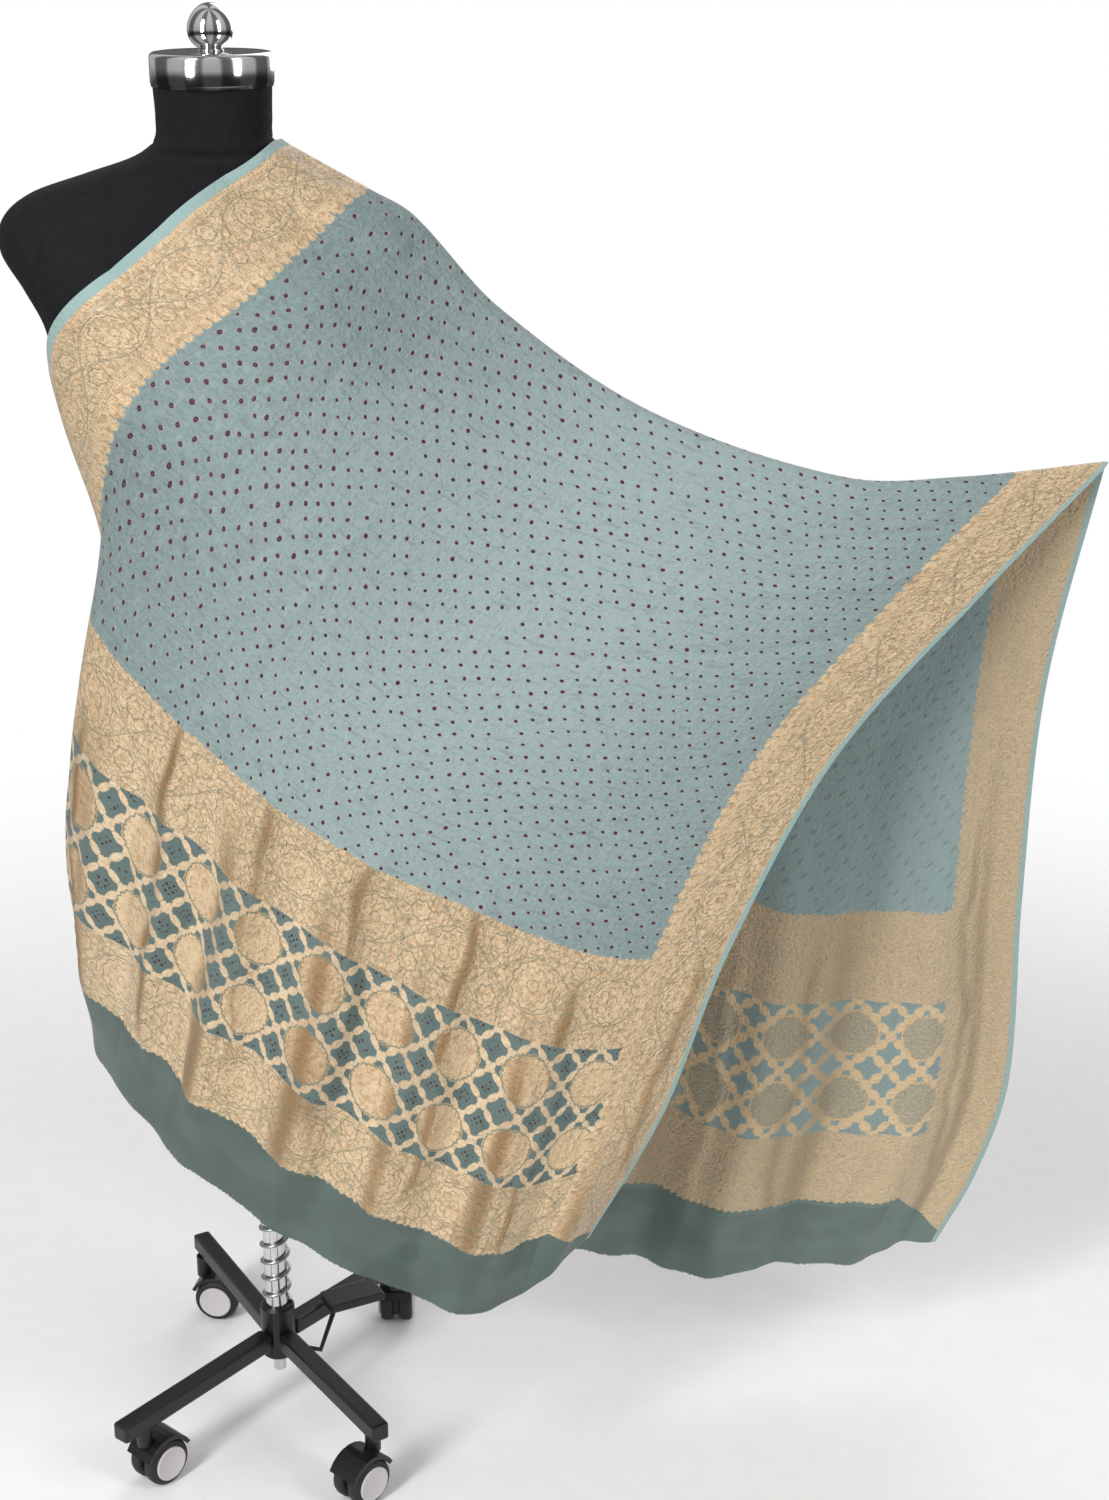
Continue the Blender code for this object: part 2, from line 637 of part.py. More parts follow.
def build_leg(group, joiners, leg, black, rubber, pale):
    direction = math.atan2(leg.end_y, leg.end_x)
    reach = math.hypot(leg.end_x, leg.end_y)
    start = HUB_RADIUS + SEAT_GAP
    arm_box = (reach - start, ARM_SIZE, ARM_SIZE)
    arm = beveled_box(group, "arm_" + leg.name, arm_box, black, ARM_BEVEL)
    middle = 0.5 * (reach + start)
    arm.location = (middle * math.cos(direction), middle * math.sin(direction), ARM_AXIS_Z)
    arm.rotation_euler = (0.0, 0.0, direction)

    stem_top = ARM_AXIS_Z - 0.5 * ARM_SIZE - SEAT_GAP
    stem_low = FORK_TOP_Z + SEAT_GAP
    stem_outline = rod_profile(STEM_RADIUS, stem_top, stem_low)
    stem = turned(group, "caster_stem_" + leg.name, stem_outline, black, STEM_SIDES)
    stem.location = (leg.stem_x, leg.stem_y, 0.0)

    axle = math.radians(leg.axle_degrees)
    trail = axle + 0.5 * math.pi
    centre = Vector((
        leg.stem_x + TRAIL * math.cos(trail), leg.stem_y + TRAIL * math.sin(trail), WHEEL_RADIUS))
    along = Vector((math.cos(axle), math.sin(axle), 0.0))
    for piece in build_fork(group, joiners, leg, black):
        piece.location = centre
        piece.rotation_euler = axle_rotation(axle, 0.5 * math.pi)

    half_flat = math.pi / WHEEL_SIDES
    wheel_offset = 0.5 * (WHEEL_GAP + WHEEL_WIDTH)
    disc_offset = wheel_offset + 0.5 * WHEEL_WIDTH + SEAT_GAP + 0.5 * DISC_THICKNESS
    for side, label in ((-1.0, "inner"), (1.0, "outer")):
        wheel = turned(
            group, "wheel_%s_%s" % (leg.name, label),
            disc_profile(WHEEL_RADIUS / math.cos(half_flat), 0.5 * WHEEL_WIDTH, WHEEL_BEVEL),
            rubber, WHEEL_SIDES)
        wheel.location = centre + along * (side * wheel_offset)
        wheel.rotation_euler = axle_rotation(axle, half_flat)
        disc = turned(
            group, "disc_%s_%s" % (leg.name, label),
            disc_profile(DISC_RADIUS, 0.5 * DISC_THICKNESS, DISC_BEVEL), pale, DISC_SIDES)
        disc.location = centre + along * (side * disc_offset)
        disc.rotation_euler = axle_rotation(axle, 0.0)


def move_to_origin(group, joiners):
    """Carry every piece by one empty that puts the middle of the part's box over the origin."""
    bpy.context.view_layer.update()
    graph = bpy.context.evaluated_depsgraph_get()
    corners = []
    for item in group.objects:
        solid = item.evaluated_get(graph)
        mesh = solid.to_mesh()
        corners += [item.matrix_world @ vertex.co for vertex in mesh.vertices]
        solid.to_mesh_clear()
    carrier = bpy.data.objects.new("form_axis", None)
    for axis in (0, 1):
        places = [point[axis] for point in corners]
        carrier.location[axis] = -0.5 * (min(places) + max(places))
    pieces = list(group.objects) + list(joiners.objects)
    group.objects.link(carrier)
    for item in pieces:
        item.parent = carrier


def main():
    clear_scene()
    group = make_collection("bandhani_cloth_on_dress_form")
    joiners = make_collection("joiners")
    silk = make_material("teal_silk", (0.33, 0.47, 0.44), 0.75)
    jersey = make_material("black_jersey", (0.012, 0.012, 0.016), 0.85)
    chrome = make_material("chrome", (0.72, 0.72, 0.72), 0.12, 1.0)
    spring_steel = make_material("spring_steel", (0.55, 0.55, 0.56), 0.3, 1.0)
    black = make_material("black_enamel", (0.012, 0.011, 0.011), 0.35)
    rubber = make_material("black_rubber", (0.015, 0.015, 0.016), 0.6)
    pale = make_material("pale_plastic", (0.66, 0.62, 0.63), 0.45)
    build_cloth(group, silk)
    build_form(group, jersey)
    build_cap(group, chrome)
    above = set(group.objects)
    build_pole(group, chrome, spring_steel)
    build_hub(group, black)
    build_pedal(group, black)
    for leg in LEGS:
        build_leg(group, joiners, leg, black, rubber, pale)
    for item in set(group.objects) | set(joiners.objects):
        if item not in above:
            item.location.x += STAND_X
    move_to_origin(group, joiners)


main()
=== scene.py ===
import math
from collections import namedtuple

import bpy
import numpy as np
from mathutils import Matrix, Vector


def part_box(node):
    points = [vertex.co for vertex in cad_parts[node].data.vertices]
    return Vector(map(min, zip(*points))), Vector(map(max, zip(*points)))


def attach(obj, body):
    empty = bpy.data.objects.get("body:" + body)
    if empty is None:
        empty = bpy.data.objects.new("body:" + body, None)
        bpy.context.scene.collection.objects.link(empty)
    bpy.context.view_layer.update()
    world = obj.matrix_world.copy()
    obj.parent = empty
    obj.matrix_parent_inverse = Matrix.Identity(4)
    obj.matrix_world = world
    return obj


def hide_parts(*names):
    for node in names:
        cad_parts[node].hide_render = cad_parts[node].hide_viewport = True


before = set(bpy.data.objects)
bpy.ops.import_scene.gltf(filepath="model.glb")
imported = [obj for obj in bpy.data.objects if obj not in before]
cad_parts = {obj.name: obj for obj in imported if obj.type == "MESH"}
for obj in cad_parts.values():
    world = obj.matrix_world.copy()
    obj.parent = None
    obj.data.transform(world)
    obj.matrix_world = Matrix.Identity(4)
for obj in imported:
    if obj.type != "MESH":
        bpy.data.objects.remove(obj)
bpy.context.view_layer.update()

# Cloth: one woven length, measured from selvedge A (neck side) to selvedge B (held-out side)
CLOTH_WIDTH = 0.91
FRONT_LENGTH = 1.04
BACK_LENGTH = 0.97
# Distance between the two skins of the shown sheet
SKIN_GAP = 0.0011
RIDGE_RADIUS = 0.007
FORM_CLEARANCE = 0.0055
CLOTH_COLUMNS = 204
FRONT_ROWS = 232
BACK_ROWS = 216

FORM_POWER = 2.3
BUST_HEIGHT = 1.155
BUST_HALF_SPREAD = 0.075
BUST_RISE = 0.020
BUST_RADIUS = 0.058

ACROSS = (0.0, 0.10, 0.15, 0.27, 0.45, 0.65, 0.77, 0.91)

# The cloth's middle at one distance from the shoulder fold: a place for each value in ACROSS
Section = namedtuple("Section", "along edge_a inner_a crest breast middle far inner_b edge_b")

RIDGE = Section(
    0.0, (0.060, 0.0, 1.392), (0.145, 0.0, 1.345), (0.184, 0.0, 1.322), (0.265, -0.010, 1.236),
    (0.410, -0.030, 1.140), (0.597, -0.045, 1.079), (0.711, -0.052, 1.081), (0.847, -0.060, 1.098))

FRONT_SECTIONS = (
    RIDGE,
    Section(
        0.18, (-0.036, -0.085, 1.329), (0.053, -0.115, 1.270), (0.093, -0.125, 1.242),
        (0.164, -0.120, 1.160), (0.304, -0.090, 1.052), (0.485, -0.080, 0.979),
        (0.594, -0.077, 0.966), (0.732, -0.070, 0.971)),
    Section(
        0.40, (-0.154, -0.030, 1.197), (-0.070, -0.120, 1.164), (-0.022, -0.150, 1.125),
        (0.055, -0.160, 1.033), (0.183, -0.140, 0.913), (0.362, -0.120, 0.832),
        (0.461, -0.106, 0.804), (0.594, -0.090, 0.809)),
    Section(
        0.62, (-0.105, 0.060, 1.000), (-0.140, 0.000, 0.950), (-0.128, -0.060, 0.932),
        (-0.039, -0.130, 0.861), (0.094, -0.160, 0.757), (0.264, -0.150, 0.665),
        (0.372, -0.137, 0.620), (0.494, -0.110, 0.612)),
    Section(
        0.82, (-0.120, 0.085, 0.800), (-0.171, 0.030, 0.745), (-0.180, -0.030, 0.705),
        (-0.085, -0.130, 0.664), (0.048, -0.180, 0.576), (0.214, -0.180, 0.466),
        (0.317, -0.168, 0.433), (0.430, -0.130, 0.440)),
    Section(
        1.04, (-0.110, 0.125, 0.590), (-0.165, 0.075, 0.520), (-0.178, 0.015, 0.475),
        (-0.128, -0.090, 0.431), (-0.007, -0.170, 0.354), (0.157, -0.200, 0.271),
        (0.252, -0.195, 0.244), (0.353, -0.130, 0.291)),
)

BACK_SECTIONS = (
    RIDGE,
    Section(
        0.24, (0.040, 0.125, 1.150), (0.124, 0.120, 1.120), (0.168, 0.110, 1.081),
        (0.254, 0.070, 1.007), (0.407, 0.030, 0.907), (0.605, 0.010, 0.844),
        (0.708, 0.003, 0.845), (0.816, -0.010, 0.851)),
    Section(
        0.48, (0.033, 0.135, 0.914), (0.111, 0.140, 0.879), (0.153, 0.130, 0.838),
        (0.244, 0.100, 0.746), (0.405, 0.060, 0.642), (0.594, 0.050, 0.580),
        (0.702, 0.043, 0.586), (0.816, 0.030, 0.602)),
    Section(
        0.73, (0.030, 0.130, 0.678), (0.104, 0.140, 0.638), (0.141, 0.140, 0.591),
        (0.230, 0.110, 0.507), (0.385, 0.080, 0.399), (0.568, 0.060, 0.348),
        (0.694, 0.068, 0.345), (0.822, 0.060, 0.366)),
    Section(
        0.86, (0.031, 0.130, 0.560), (0.100, 0.145, 0.516), (0.135, 0.145, 0.467),
        (0.217, 0.115, 0.376), (0.363, 0.086, 0.259), (0.543, 0.061, 0.224),
        (0.664, 0.072, 0.225), (0.797, 0.080, 0.240)),
    Section(
        0.97, (0.033, 0.130, 0.461), (0.097, 0.150, 0.414), (0.130, 0.150, 0.363),
        (0.204, 0.120, 0.264), (0.342, 0.090, 0.137), (0.519, 0.060, 0.118),
        (0.629, 0.073, 0.125), (0.756, 0.090, 0.141)),
)

# A soft fold runs down the cloth: where it starts, where it is full, and how far it drifts sideways
Fold = namedtuple("Fold", "across start full drift half_width height")

FRONT_FOLDS = (
    Fold(0.20, 0.55, 0.85, 0.00, 0.020, -0.008),
    Fold(0.31, 0.58, 0.80, 0.01, 0.022, 0.010),
    Fold(0.365, 0.58, 0.78, 0.01, 0.018, -0.010),
    Fold(0.42, 0.60, 0.80, 0.01, 0.020, 0.008),
    Fold(0.485, 0.60, 0.78, 0.01, 0.018, -0.010),
    Fold(0.54, 0.60, 0.80, 0.00, 0.018, 0.009),
    Fold(0.60, 0.62, 0.80, 0.00, 0.017, -0.008),
    Fold(0.66, 0.62, 0.82, 0.00, 0.018, 0.010),
    Fold(0.72, 0.62, 0.82, 0.00, 0.017, -0.010),
    Fold(0.79, 0.70, 1.00, 0.00, 0.020, 0.012),
    Fold(0.85, 0.75, 1.04, 0.00, 0.018, -0.010),
)

BACK_FOLDS = (
    Fold(0.33, 0.30, 0.80, 0.00, 0.032, -0.016),
    Fold(0.43, 0.30, 0.80, 0.00, 0.030, 0.018),
    Fold(0.53, 0.30, 0.80, 0.00, 0.028, -0.016),
    Fold(0.62, 0.20, 0.75, 0.00, 0.028, 0.014),
    Fold(0.71, 0.20, 0.75, 0.00, 0.026, -0.014),
    Fold(0.80, 0.15, 0.70, 0.00, 0.022, 0.010),
    Fold(0.87, 0.15, 0.60, 0.00, 0.018, -0.010),
)

# How far the form reaches from its axis at one height
Level = namedtuple("Level", "z left right front back")

FORM_LEVELS = (
    Level(0.720, 0.146, 0.146, 0.098, 0.108),
    Level(0.800, 0.156, 0.156, 0.106, 0.122),
    Level(0.880, 0.142, 0.142, 0.098, 0.108),
    Level(0.950, 0.118, 0.118, 0.086, 0.088),
    Level(1.030, 0.126, 0.126, 0.096, 0.088),
    Level(1.120, 0.150, 0.148, 0.112, 0.098),
    Level(1.170, 0.161, 0.154, 0.114, 0.102),
    Level(1.220, 0.170, 0.161, 0.106, 0.102),
    Level(1.255, 0.188, 0.178, 0.094, 0.098),
    Level(1.290, 0.208, 0.188, 0.078, 0.088),
    Level(1.320, 0.204, 0.165, 0.064, 0.074),
    Level(1.343, 0.176, 0.129, 0.054, 0.062),
    Level(1.360, 0.126, 0.096, 0.051, 0.057),
    Level(1.376, 0.078, 0.072, 0.051, 0.056),
    Level(1.392, 0.057, 0.055, 0.051, 0.055),
    Level(1.412, 0.054, 0.054, 0.051, 0.053),
    Level(1.440, 0.055, 0.055, 0.052, 0.053),
)
NECK_TOP = FORM_LEVELS[-1].z
FORM_BOTTOM = FORM_LEVELS[0].z

# Everything is laid out from the form's middle, beside the pole's axis
STAND_X = 0.008
pole_low, pole_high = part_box("pole")
AXIS = np.array([0.5 * (pole_low.x + pole_high.x) - STAND_X, 0.5 * (pole_low.y + pole_high.y), 0.0])

# Passes that push the sheet off the form, and the step that its slope is measured with
CLEARING_PASSES = 5
SLOPE_STEP = 0.001
CLEARING_MARGIN = 0.01


# ---- surface ----

def spline(knots, values, position):
    last = len(knots) - 1
    index = 0
    while index < last - 1 and position > knots[index + 1]:
        index += 1

    def slope(at):
        low, high = max(at - 1, 0), min(at + 1, last)
        return (values[high] - values[low]) / (knots[high] - knots[low])

    span = knots[index + 1] - knots[index]
    t = (position - knots[index]) / span
    rise = t * t * (3.0 - 2.0 * t)
    start_pull = t * (1.0 - t) ** 2
    end_pull = t * t * (t - 1.0)
    return (values[index] * (1.0 - rise) + values[index + 1] * rise
            + slope(index) * (span * start_pull) + slope(index + 1) * (span * end_pull))


def spline_weights(knots, positions):
    """One row of weights per position, one column per knot."""
    return np.array([spline(knots, np.eye(len(knots)), position) for position in positions])


def smooth_step(low, high, value):
    t = np.clip((value - low) / (high - low), 0.0, 1.0)
    return t * t * (3.0 - 2.0 * t)


LEVEL_HEIGHTS = [level.z for level in FORM_LEVELS]
FINE_HEIGHTS = np.linspace(FORM_BOTTOM, NECK_TOP, 721)
FINE_REACH = spline_weights(LEVEL_HEIGHTS, FINE_HEIGHTS) @ np.array([level[1:] for level in FORM_LEVELS])


def form_reach(z):
    return [np.interp(z, FINE_HEIGHTS, FINE_REACH[:, side]) for side in range(4)]


def bust_rise(x, z):
    sideways = (np.abs(x) - BUST_HALF_SPREAD) / BUST_RADIUS
    upward = (z - BUST_HEIGHT) / BUST_RADIUS
    return BUST_RISE * np.exp(-sideways * sideways - upward * upward)


def form_value(points):
    x, y, z = points[..., 0], points[..., 1], points[..., 2]
    left, right, front, back = form_reach(z)
    half_width = np.where(x > 0.0, right, left)
    depth = np.where(y < 0.0, front + bust_rise(x, z), back)
    ratio = np.abs(x / half_width) ** FORM_POWER + np.abs(y / depth) ** FORM_POWER
    return ratio ** (1.0 / FORM_POWER) - 1.0


def clear_of_form(points, clearance):
    points = points.copy()
    for _ in range(CLEARING_PASSES):
        here = form_value(points)
        gradient = np.stack([
            (form_value(points + offset) - form_value(points - offset)) / (2.0 * SLOPE_STEP)
            for offset in np.eye(3) * SLOPE_STEP], axis=-1)
        size = np.linalg.norm(gradient, axis=-1)
        distance = here / size
        level = (points[..., 2] > FORM_BOTTOM - CLEARING_MARGIN) & (points[..., 2] < NECK_TOP)
        short = np.where(level & (distance < clearance), clearance - distance, 0.0)
        points += gradient / size[..., None] * short[..., None]
    return points


def draped(across, along):
    """Middle of the cloth without its small folds, as rows x columns x 3."""
    across_weights = spline_weights(ACROSS, across)
    rows = []
    for sections, picked in ((BACK_SECTIONS, along[along < 0.0]), (FRONT_SECTIONS, along[along >= 0.0])):
        length = sections[-1].along
        distance = np.abs(picked)
        eased = np.hypot(distance, RIDGE_RADIUS) - RIDGE_RADIUS * (1.0 - distance / length)
        along_weights = spline_weights([section.along for section in sections], np.minimum(eased, length))
        table = np.array([section[1:] for section in sections])
        rows.append(np.einsum("ij,jkl,mk->iml", along_weights, table, across_weights))
    surface = np.concatenate(rows)
    surface[..., 1] -= (RIDGE_RADIUS * np.tanh(along / RIDGE_RADIUS))[:, None]
    return surface


def fold_heights(across, along):
    height = np.zeros((len(along), len(across)))
    for folds, side in ((FRONT_FOLDS, 1.0), (BACK_FOLDS, -1.0)):
        for fold in folds:
            rise = smooth_step(fold.start, fold.full, side * along)[:, None]
            offset = (across[None, :] - fold.across - fold.drift * rise) / fold.half_width
            height += fold.height * rise * np.exp(-offset * offset)
    return height


# One row per crease: a line across the cloth from one place to another, its half width and height
Crease = namedtuple("Crease", "start_across start_along end_across end_along half_width height")

CREASES = [Crease(*row) for row in (
    (0.215, 0.10, 0.175, 0.66, 0.0050, 0.0016),
    (0.165, 0.16, 0.140, 0.60, 0.0045, 0.0014),
    (0.285, 0.14, 0.235, 0.62, 0.0060, 0.0012),
    (0.335, 0.22, 0.300, 0.66, 0.0050, -0.0014),
    (0.130, 0.44, 0.330, 0.42, 0.0030, 0.0012),
    (0.430, 0.16, 0.880, 0.06, 0.0080, 0.0018),
    (0.480, 0.25, 0.880, 0.13, 0.0090, -0.0018),
    (0.520, 0.33, 0.860, 0.21, 0.0080, 0.0016),
    (0.300, 0.06, 0.620, 0.06, 0.0070, 0.0015),
    (0.235, 0.64, 0.250, 1.03, 0.0112, 0.0054),
    (0.275, 0.58, 0.290, 1.00, 0.0088, -0.0061),
    (0.335, 0.60, 0.345, 1.03, 0.0096, 0.0049),
    (0.392, 0.58, 0.405, 0.96, 0.0096, -0.0057),
    (0.450, 0.60, 0.455, 1.03, 0.0104, 0.0054),
    (0.512, 0.58, 0.520, 1.00, 0.0088, -0.0062),
    (0.572, 0.61, 0.572, 1.03, 0.0096, 0.0051),
    (0.630, 0.58, 0.632, 0.98, 0.0088, -0.0062),
    (0.690, 0.60, 0.690, 1.03, 0.0096, 0.0054),
    (0.752, 0.62, 0.752, 1.02, 0.0088, -0.0059),
    (0.110, 0.64, 0.150, 1.02, 0.0112, 0.0051),
    (0.160, 0.66, 0.195, 1.03, 0.0104, -0.0049),
    (0.060, 0.72, 0.090, 1.03, 0.0112, 0.0041),
    (0.820, 0.76, 0.815, 1.03, 0.0096, 0.0054),
    (0.885, 0.58, 0.880, 0.95, 0.0080, -0.0041),
    (0.360, -0.52, 0.370, -0.95, 0.0080, 0.0040),
    (0.480, -0.50, 0.480, -0.95, 0.0080, -0.0042),
    (0.575, -0.50, 0.575, -0.95, 0.0070, 0.0040),
    (0.665, -0.50, 0.670, -0.95, 0.0070, -0.0040),
    (0.755, -0.46, 0.755, -0.95, 0.0070, 0.0036),
    (0.845, -0.35, 0.845, -0.90, 0.0060, -0.0034),
    (0.580, -0.20, 0.870, -0.12, 0.0090, 0.0022),
    (0.620, -0.32, 0.870, -0.26, 0.0080, -0.0020),
)]

# Sideways wander of a crease: its size, how fast it turns, and its shift from one crease to the next
CREASE_SWAY = ((0.004, 31.0, 1.7), (0.0018, 83.0, 1.0))


def crease_heights(across, along):
    height = np.zeros((len(along), len(across)))
    x, y = np.meshgrid(across, along)
    for number, crease in enumerate(CREASES):
        run_x = crease.end_across - crease.start_across
        run_y = crease.end_along - crease.start_along
        length = math.hypot(run_x, run_y)
        down = ((x - crease.start_across) * run_x + (y - crease.start_along) * run_y) / length
        sway = sum(size * np.sin(down * rate + number * shift) for size, rate, shift in CREASE_SWAY)
        off = ((x - crease.start_across) * run_y - (y - crease.start_along) * run_x) / length + sway
        share = down / length
        ends = smooth_step(-0.02, 0.22, share) * smooth_step(1.02, 0.80, share)
        width = crease.half_width * (1.0 + 0.3 * np.sin(down * 19.0 + number))
        profile = np.exp(-np.abs(off / width) ** 1.5)
        height += crease.height * ends * profile
    return height


HEM_REACH = 0.05


def hem_drawn_in(surface, across, along):
    """The two hems, drawn in unevenly by pulling their last rows back along the cloth."""
    ragged = 0.0025 + 0.0015 * np.sin(across * 31.0) + 0.0008 * np.sin(across * 83.0 + 1.0)
    near_front = smooth_step(FRONT_LENGTH - HEM_REACH, FRONT_LENGTH, along)[:, None]
    near_back = smooth_step(HEM_REACH - BACK_LENGTH, -BACK_LENGTH, along)[:, None]
    moved = along[:, None] - ragged[None, :] * near_front + ragged[None, ::-1] * near_back
    place = np.interp(moved, along, np.arange(len(along), dtype=float))
    low = np.minimum(place.astype(int), len(along) - 2)
    share = (place - low)[..., None]
    column = np.arange(len(across))[None, :]
    return surface[low, column] * (1.0 - share) + surface[low + 1, column] * share


def surface_normals(surface):
    sideways = np.gradient(surface, axis=1)
    lengthways = np.gradient(surface, axis=0)
    normals = np.cross(sideways, lengthways)
    return normals / np.linalg.norm(normals, axis=-1, keepdims=True)


def grid_object(name, points, uvs, material, flip=False):
    rows, columns = points.shape[:2]
    mesh = bpy.data.meshes.new(name)
    index = np.arange(rows * columns).reshape(rows, columns)
    quads = np.stack([index[:-1, :-1], index[:-1, 1:], index[1:, 1:], index[1:, :-1]], axis=-1)
    quads = quads.reshape(-1, 4)
    if flip:
        quads = quads[:, ::-1]
    mesh.from_pydata((points.reshape(-1, 3) + AXIS).tolist(), [], quads.tolist())
    layer = mesh.uv_layers.new(name="metres")
    layer.data.foreach_set("uv", uvs.reshape(-1, 2)[quads.reshape(-1)].astype(np.float32).ravel())
    mesh.shade_smooth()
    mesh.materials.append(material)
    item = bpy.data.objects.new(name, mesh)
    bpy.context.scene.collection.objects.link(item)
    return item


# ---- materials ----

def colour(red, green, blue):
    """A colour given as a screen shows it, 0 to 255, as linear light."""
    return tuple(((c / 255.0 + 0.055) / 1.055) ** 2.4 if c > 10 else c / 255.0 / 12.92
                 for c in (red, green, blue))


def shaded(base, share):
    return tuple(share * part for part in base)


class Wire:
    """A shader socket that can be used in sums; each step adds one Math node."""

    def __init__(self, maker, socket):
        self.maker = maker
        self.socket = socket

    def __add__(self, other):
        return self.maker.math("ADD", self, other)

    def __sub__(self, other):
        return self.maker.math("SUBTRACT", self, other)

    def __rsub__(self, other):
        return self.maker.math("SUBTRACT", other, self)

    def __mul__(self, other):
        return self.maker.math("MULTIPLY", self, other)

    __radd__ = __add__
    __rmul__ = __mul__


class Maker:
    """Builds the node tree of a material, or of the world where it is given one."""

    def __init__(self, name, world=None):
        self.material = world or bpy.data.materials.new(name)
        self.material.use_nodes = True
        self.tree = self.material.node_tree
        self.shader = self.tree.nodes.get("Principled BSDF")

    def node(self, kind, **settings):
        node = self.tree.nodes.new(kind)
        for key, value in settings.items():
            setattr(node, key, value)
        return node

    def put(self, socket, value):
        if isinstance(value, Wire):
            self.tree.links.new(value.socket, socket)
        elif socket.type == "RGBA":
            socket.default_value = (*value, 1.0)
        else:
            socket.default_value = value

    def math(self, operation, *values):
        node = self.node("ShaderNodeMath", operation=operation)
        for socket, value in zip(node.inputs, values):
            self.put(socket, value)
        return Wire(self, node.outputs[0])

    def absolute(self, value):
        return self.math("ABSOLUTE", value)

    def most(self, *values):
        best = values[0]
        for value in values[1:]:
            best = self.math("MAXIMUM", best, value)
        return best

    def least(self, first, second):
        return self.math("MINIMUM", first, second)

    def wrap(self, value, period):
        """The offset from the nearest multiple of the period."""
        return self.math("WRAP", value, 0.5 * period, -0.5 * period)

    def rise(self, value, low, high, start=0.0, end=1.0):
        node = self.node("ShaderNodeMapRange", interpolation_type="SMOOTHSTEP")
        for name, number in (("Value", value), ("From Min", low), ("From Max", high),
                             ("To Min", start), ("To Max", end)):
            self.put(node.inputs[name], number)
        return Wire(self, node.outputs[0])

    def inside(self, distance, radius, soft):
        """One within the radius, falling to nothing over the soft edge."""
        return self.rise(distance, radius - soft, radius + soft, 1.0, 0.0)

    def line(self, offset, half_width, soft=0.0003):
        return self.inside(self.absolute(offset), half_width, soft)

    def vector(self, x, y, z=0.0):
        node = self.node("ShaderNodeCombineXYZ")
        for socket, value in zip(node.inputs, (x, y, z)):
            self.put(socket, value)
        return Wire(self, node.outputs[0])

    def reach(self, x, y):
        node = self.node("ShaderNodeVectorMath", operation="LENGTH")
        self.put(node.inputs[0], self.vector(x, y))
        return Wire(self, node.outputs["Value"])

    def stretch(self, vector, x, y, z=1.0):
        node = self.node("ShaderNodeVectorMath", operation="MULTIPLY")
        self.put(node.inputs[0], vector)
        node.inputs[1].default_value = (x, y, z)
        return Wire(self, node.outputs[0])

    def shift(self, vector, other):
        node = self.node("ShaderNodeVectorMath", operation="ADD")
        self.put(node.inputs[0], vector)
        self.put(node.inputs[1], other)
        return Wire(self, node.outputs[0])

    def noise(self, vector, scale, detail=2.0, rough=0.5, output="Fac"):
        node = self.node("ShaderNodeTexNoise")
        self.put(node.inputs["Vector"], vector)
        node.inputs["Scale"].default_value = scale
        node.inputs["Detail"].default_value = detail
        node.inputs["Roughness"].default_value = rough
        return Wire(self, node.outputs[output])

    def chance(self, x, y):
        """Three random numbers for each whole-number pair."""
        node = self.node("ShaderNodeTexWhiteNoise", noise_dimensions="2D")
        self.put(node.inputs["Vector"], self.vector(x, y))
        split = self.node("ShaderNodeSeparateColor")
        self.tree.links.new(node.outputs["Color"], split.inputs[0])
        return [Wire(self, socket) for socket in split.outputs]

    def mix(self, factor, first, second):
        node = self.node("ShaderNodeMix", data_type="RGBA")
        self.put(node.inputs["Factor"], factor)
        self.put(node.inputs[6], first)
        self.put(node.inputs[7], second)
        return Wire(self, node.outputs[2])

    def bump(self, height, distance, strength=1.0, under=None):
        node = self.node("ShaderNodeBump")
        self.put(node.inputs["Height"], height)
        node.inputs["Distance"].default_value = distance
        self.put(node.inputs["Strength"], strength)
        if under:
            self.put(node.inputs["Normal"], under)
        return Wire(self, node.outputs["Normal"])

    def attribute(self, name):
        node = self.node("ShaderNodeAttribute", attribute_name=name)
        return Wire(self, node.outputs["Fac"])

    def set(self, **values):
        for key, value in values.items():
            self.put(self.shader.inputs[key.replace("_", " ")], value)
        return self.material


# Widths of the woven border, measured in from the selvedge
SELVEDGE = 0.0106
OUTER_ROPE = 0.0187
BORDER_MIDDLE = 0.0474
INNER_ROPE = 0.0765
TEETH_START = 0.0825
TEETH_END = 0.0985
TEETH_PITCH = 0.0138
TEETH_DEPTH = 0.0052
ROPE_DASH = 0.0028
MEDALLION_PITCH = 0.112
MEDALLION_RADIUS = 0.0204
ROSETTE_RADIUS = 0.0088
ROSETTE_SPREAD = 0.0168
# The border along selvedge B lies this much nearer to it, with a narrower plain edge
BORDER_B_SHIFT = 0.008
NARROWER_SELVEDGE = 0.0042

# Zones of the end pieces, measured up from the hem
PLAIN_TOP = 0.080
LATTICE_LOW = 0.160
LATTICE_HIGH = 0.315
BAND_TOP = 0.415
LOW_BAND_MIDDLE = 0.120
HIGH_BAND_MIDDLE = 0.366
BAND_PITCH = 0.088
BAND_MEDALLION = 0.0225
SERRATION_PITCH = 0.0085
LATTICE_PITCH = 0.0775
LATTICE_START = 0.023
SPECK_PITCH = 0.085
# The back's end piece is the longer one: its heights are counted at this rate
BACK_RATE = 0.86
BACK_HEM = 0.834

# Half width of a drawn line of the motifs, and of a soft edge between two weaves
MOTIF_LINE = 0.0008
WEAVE_EDGE = 0.0003
THIN_LINE = 0.0004

# Columns of the tied dots: how the two counts grow with across, along and their products
DOT_ROWS = (43.0, 25.2, -35.2, 59.5, -4.6)
DOT_COLUMNS = (54.3, -37.7, 4.1, -10.1, 4.1)
DOT_PITCH = 0.0172

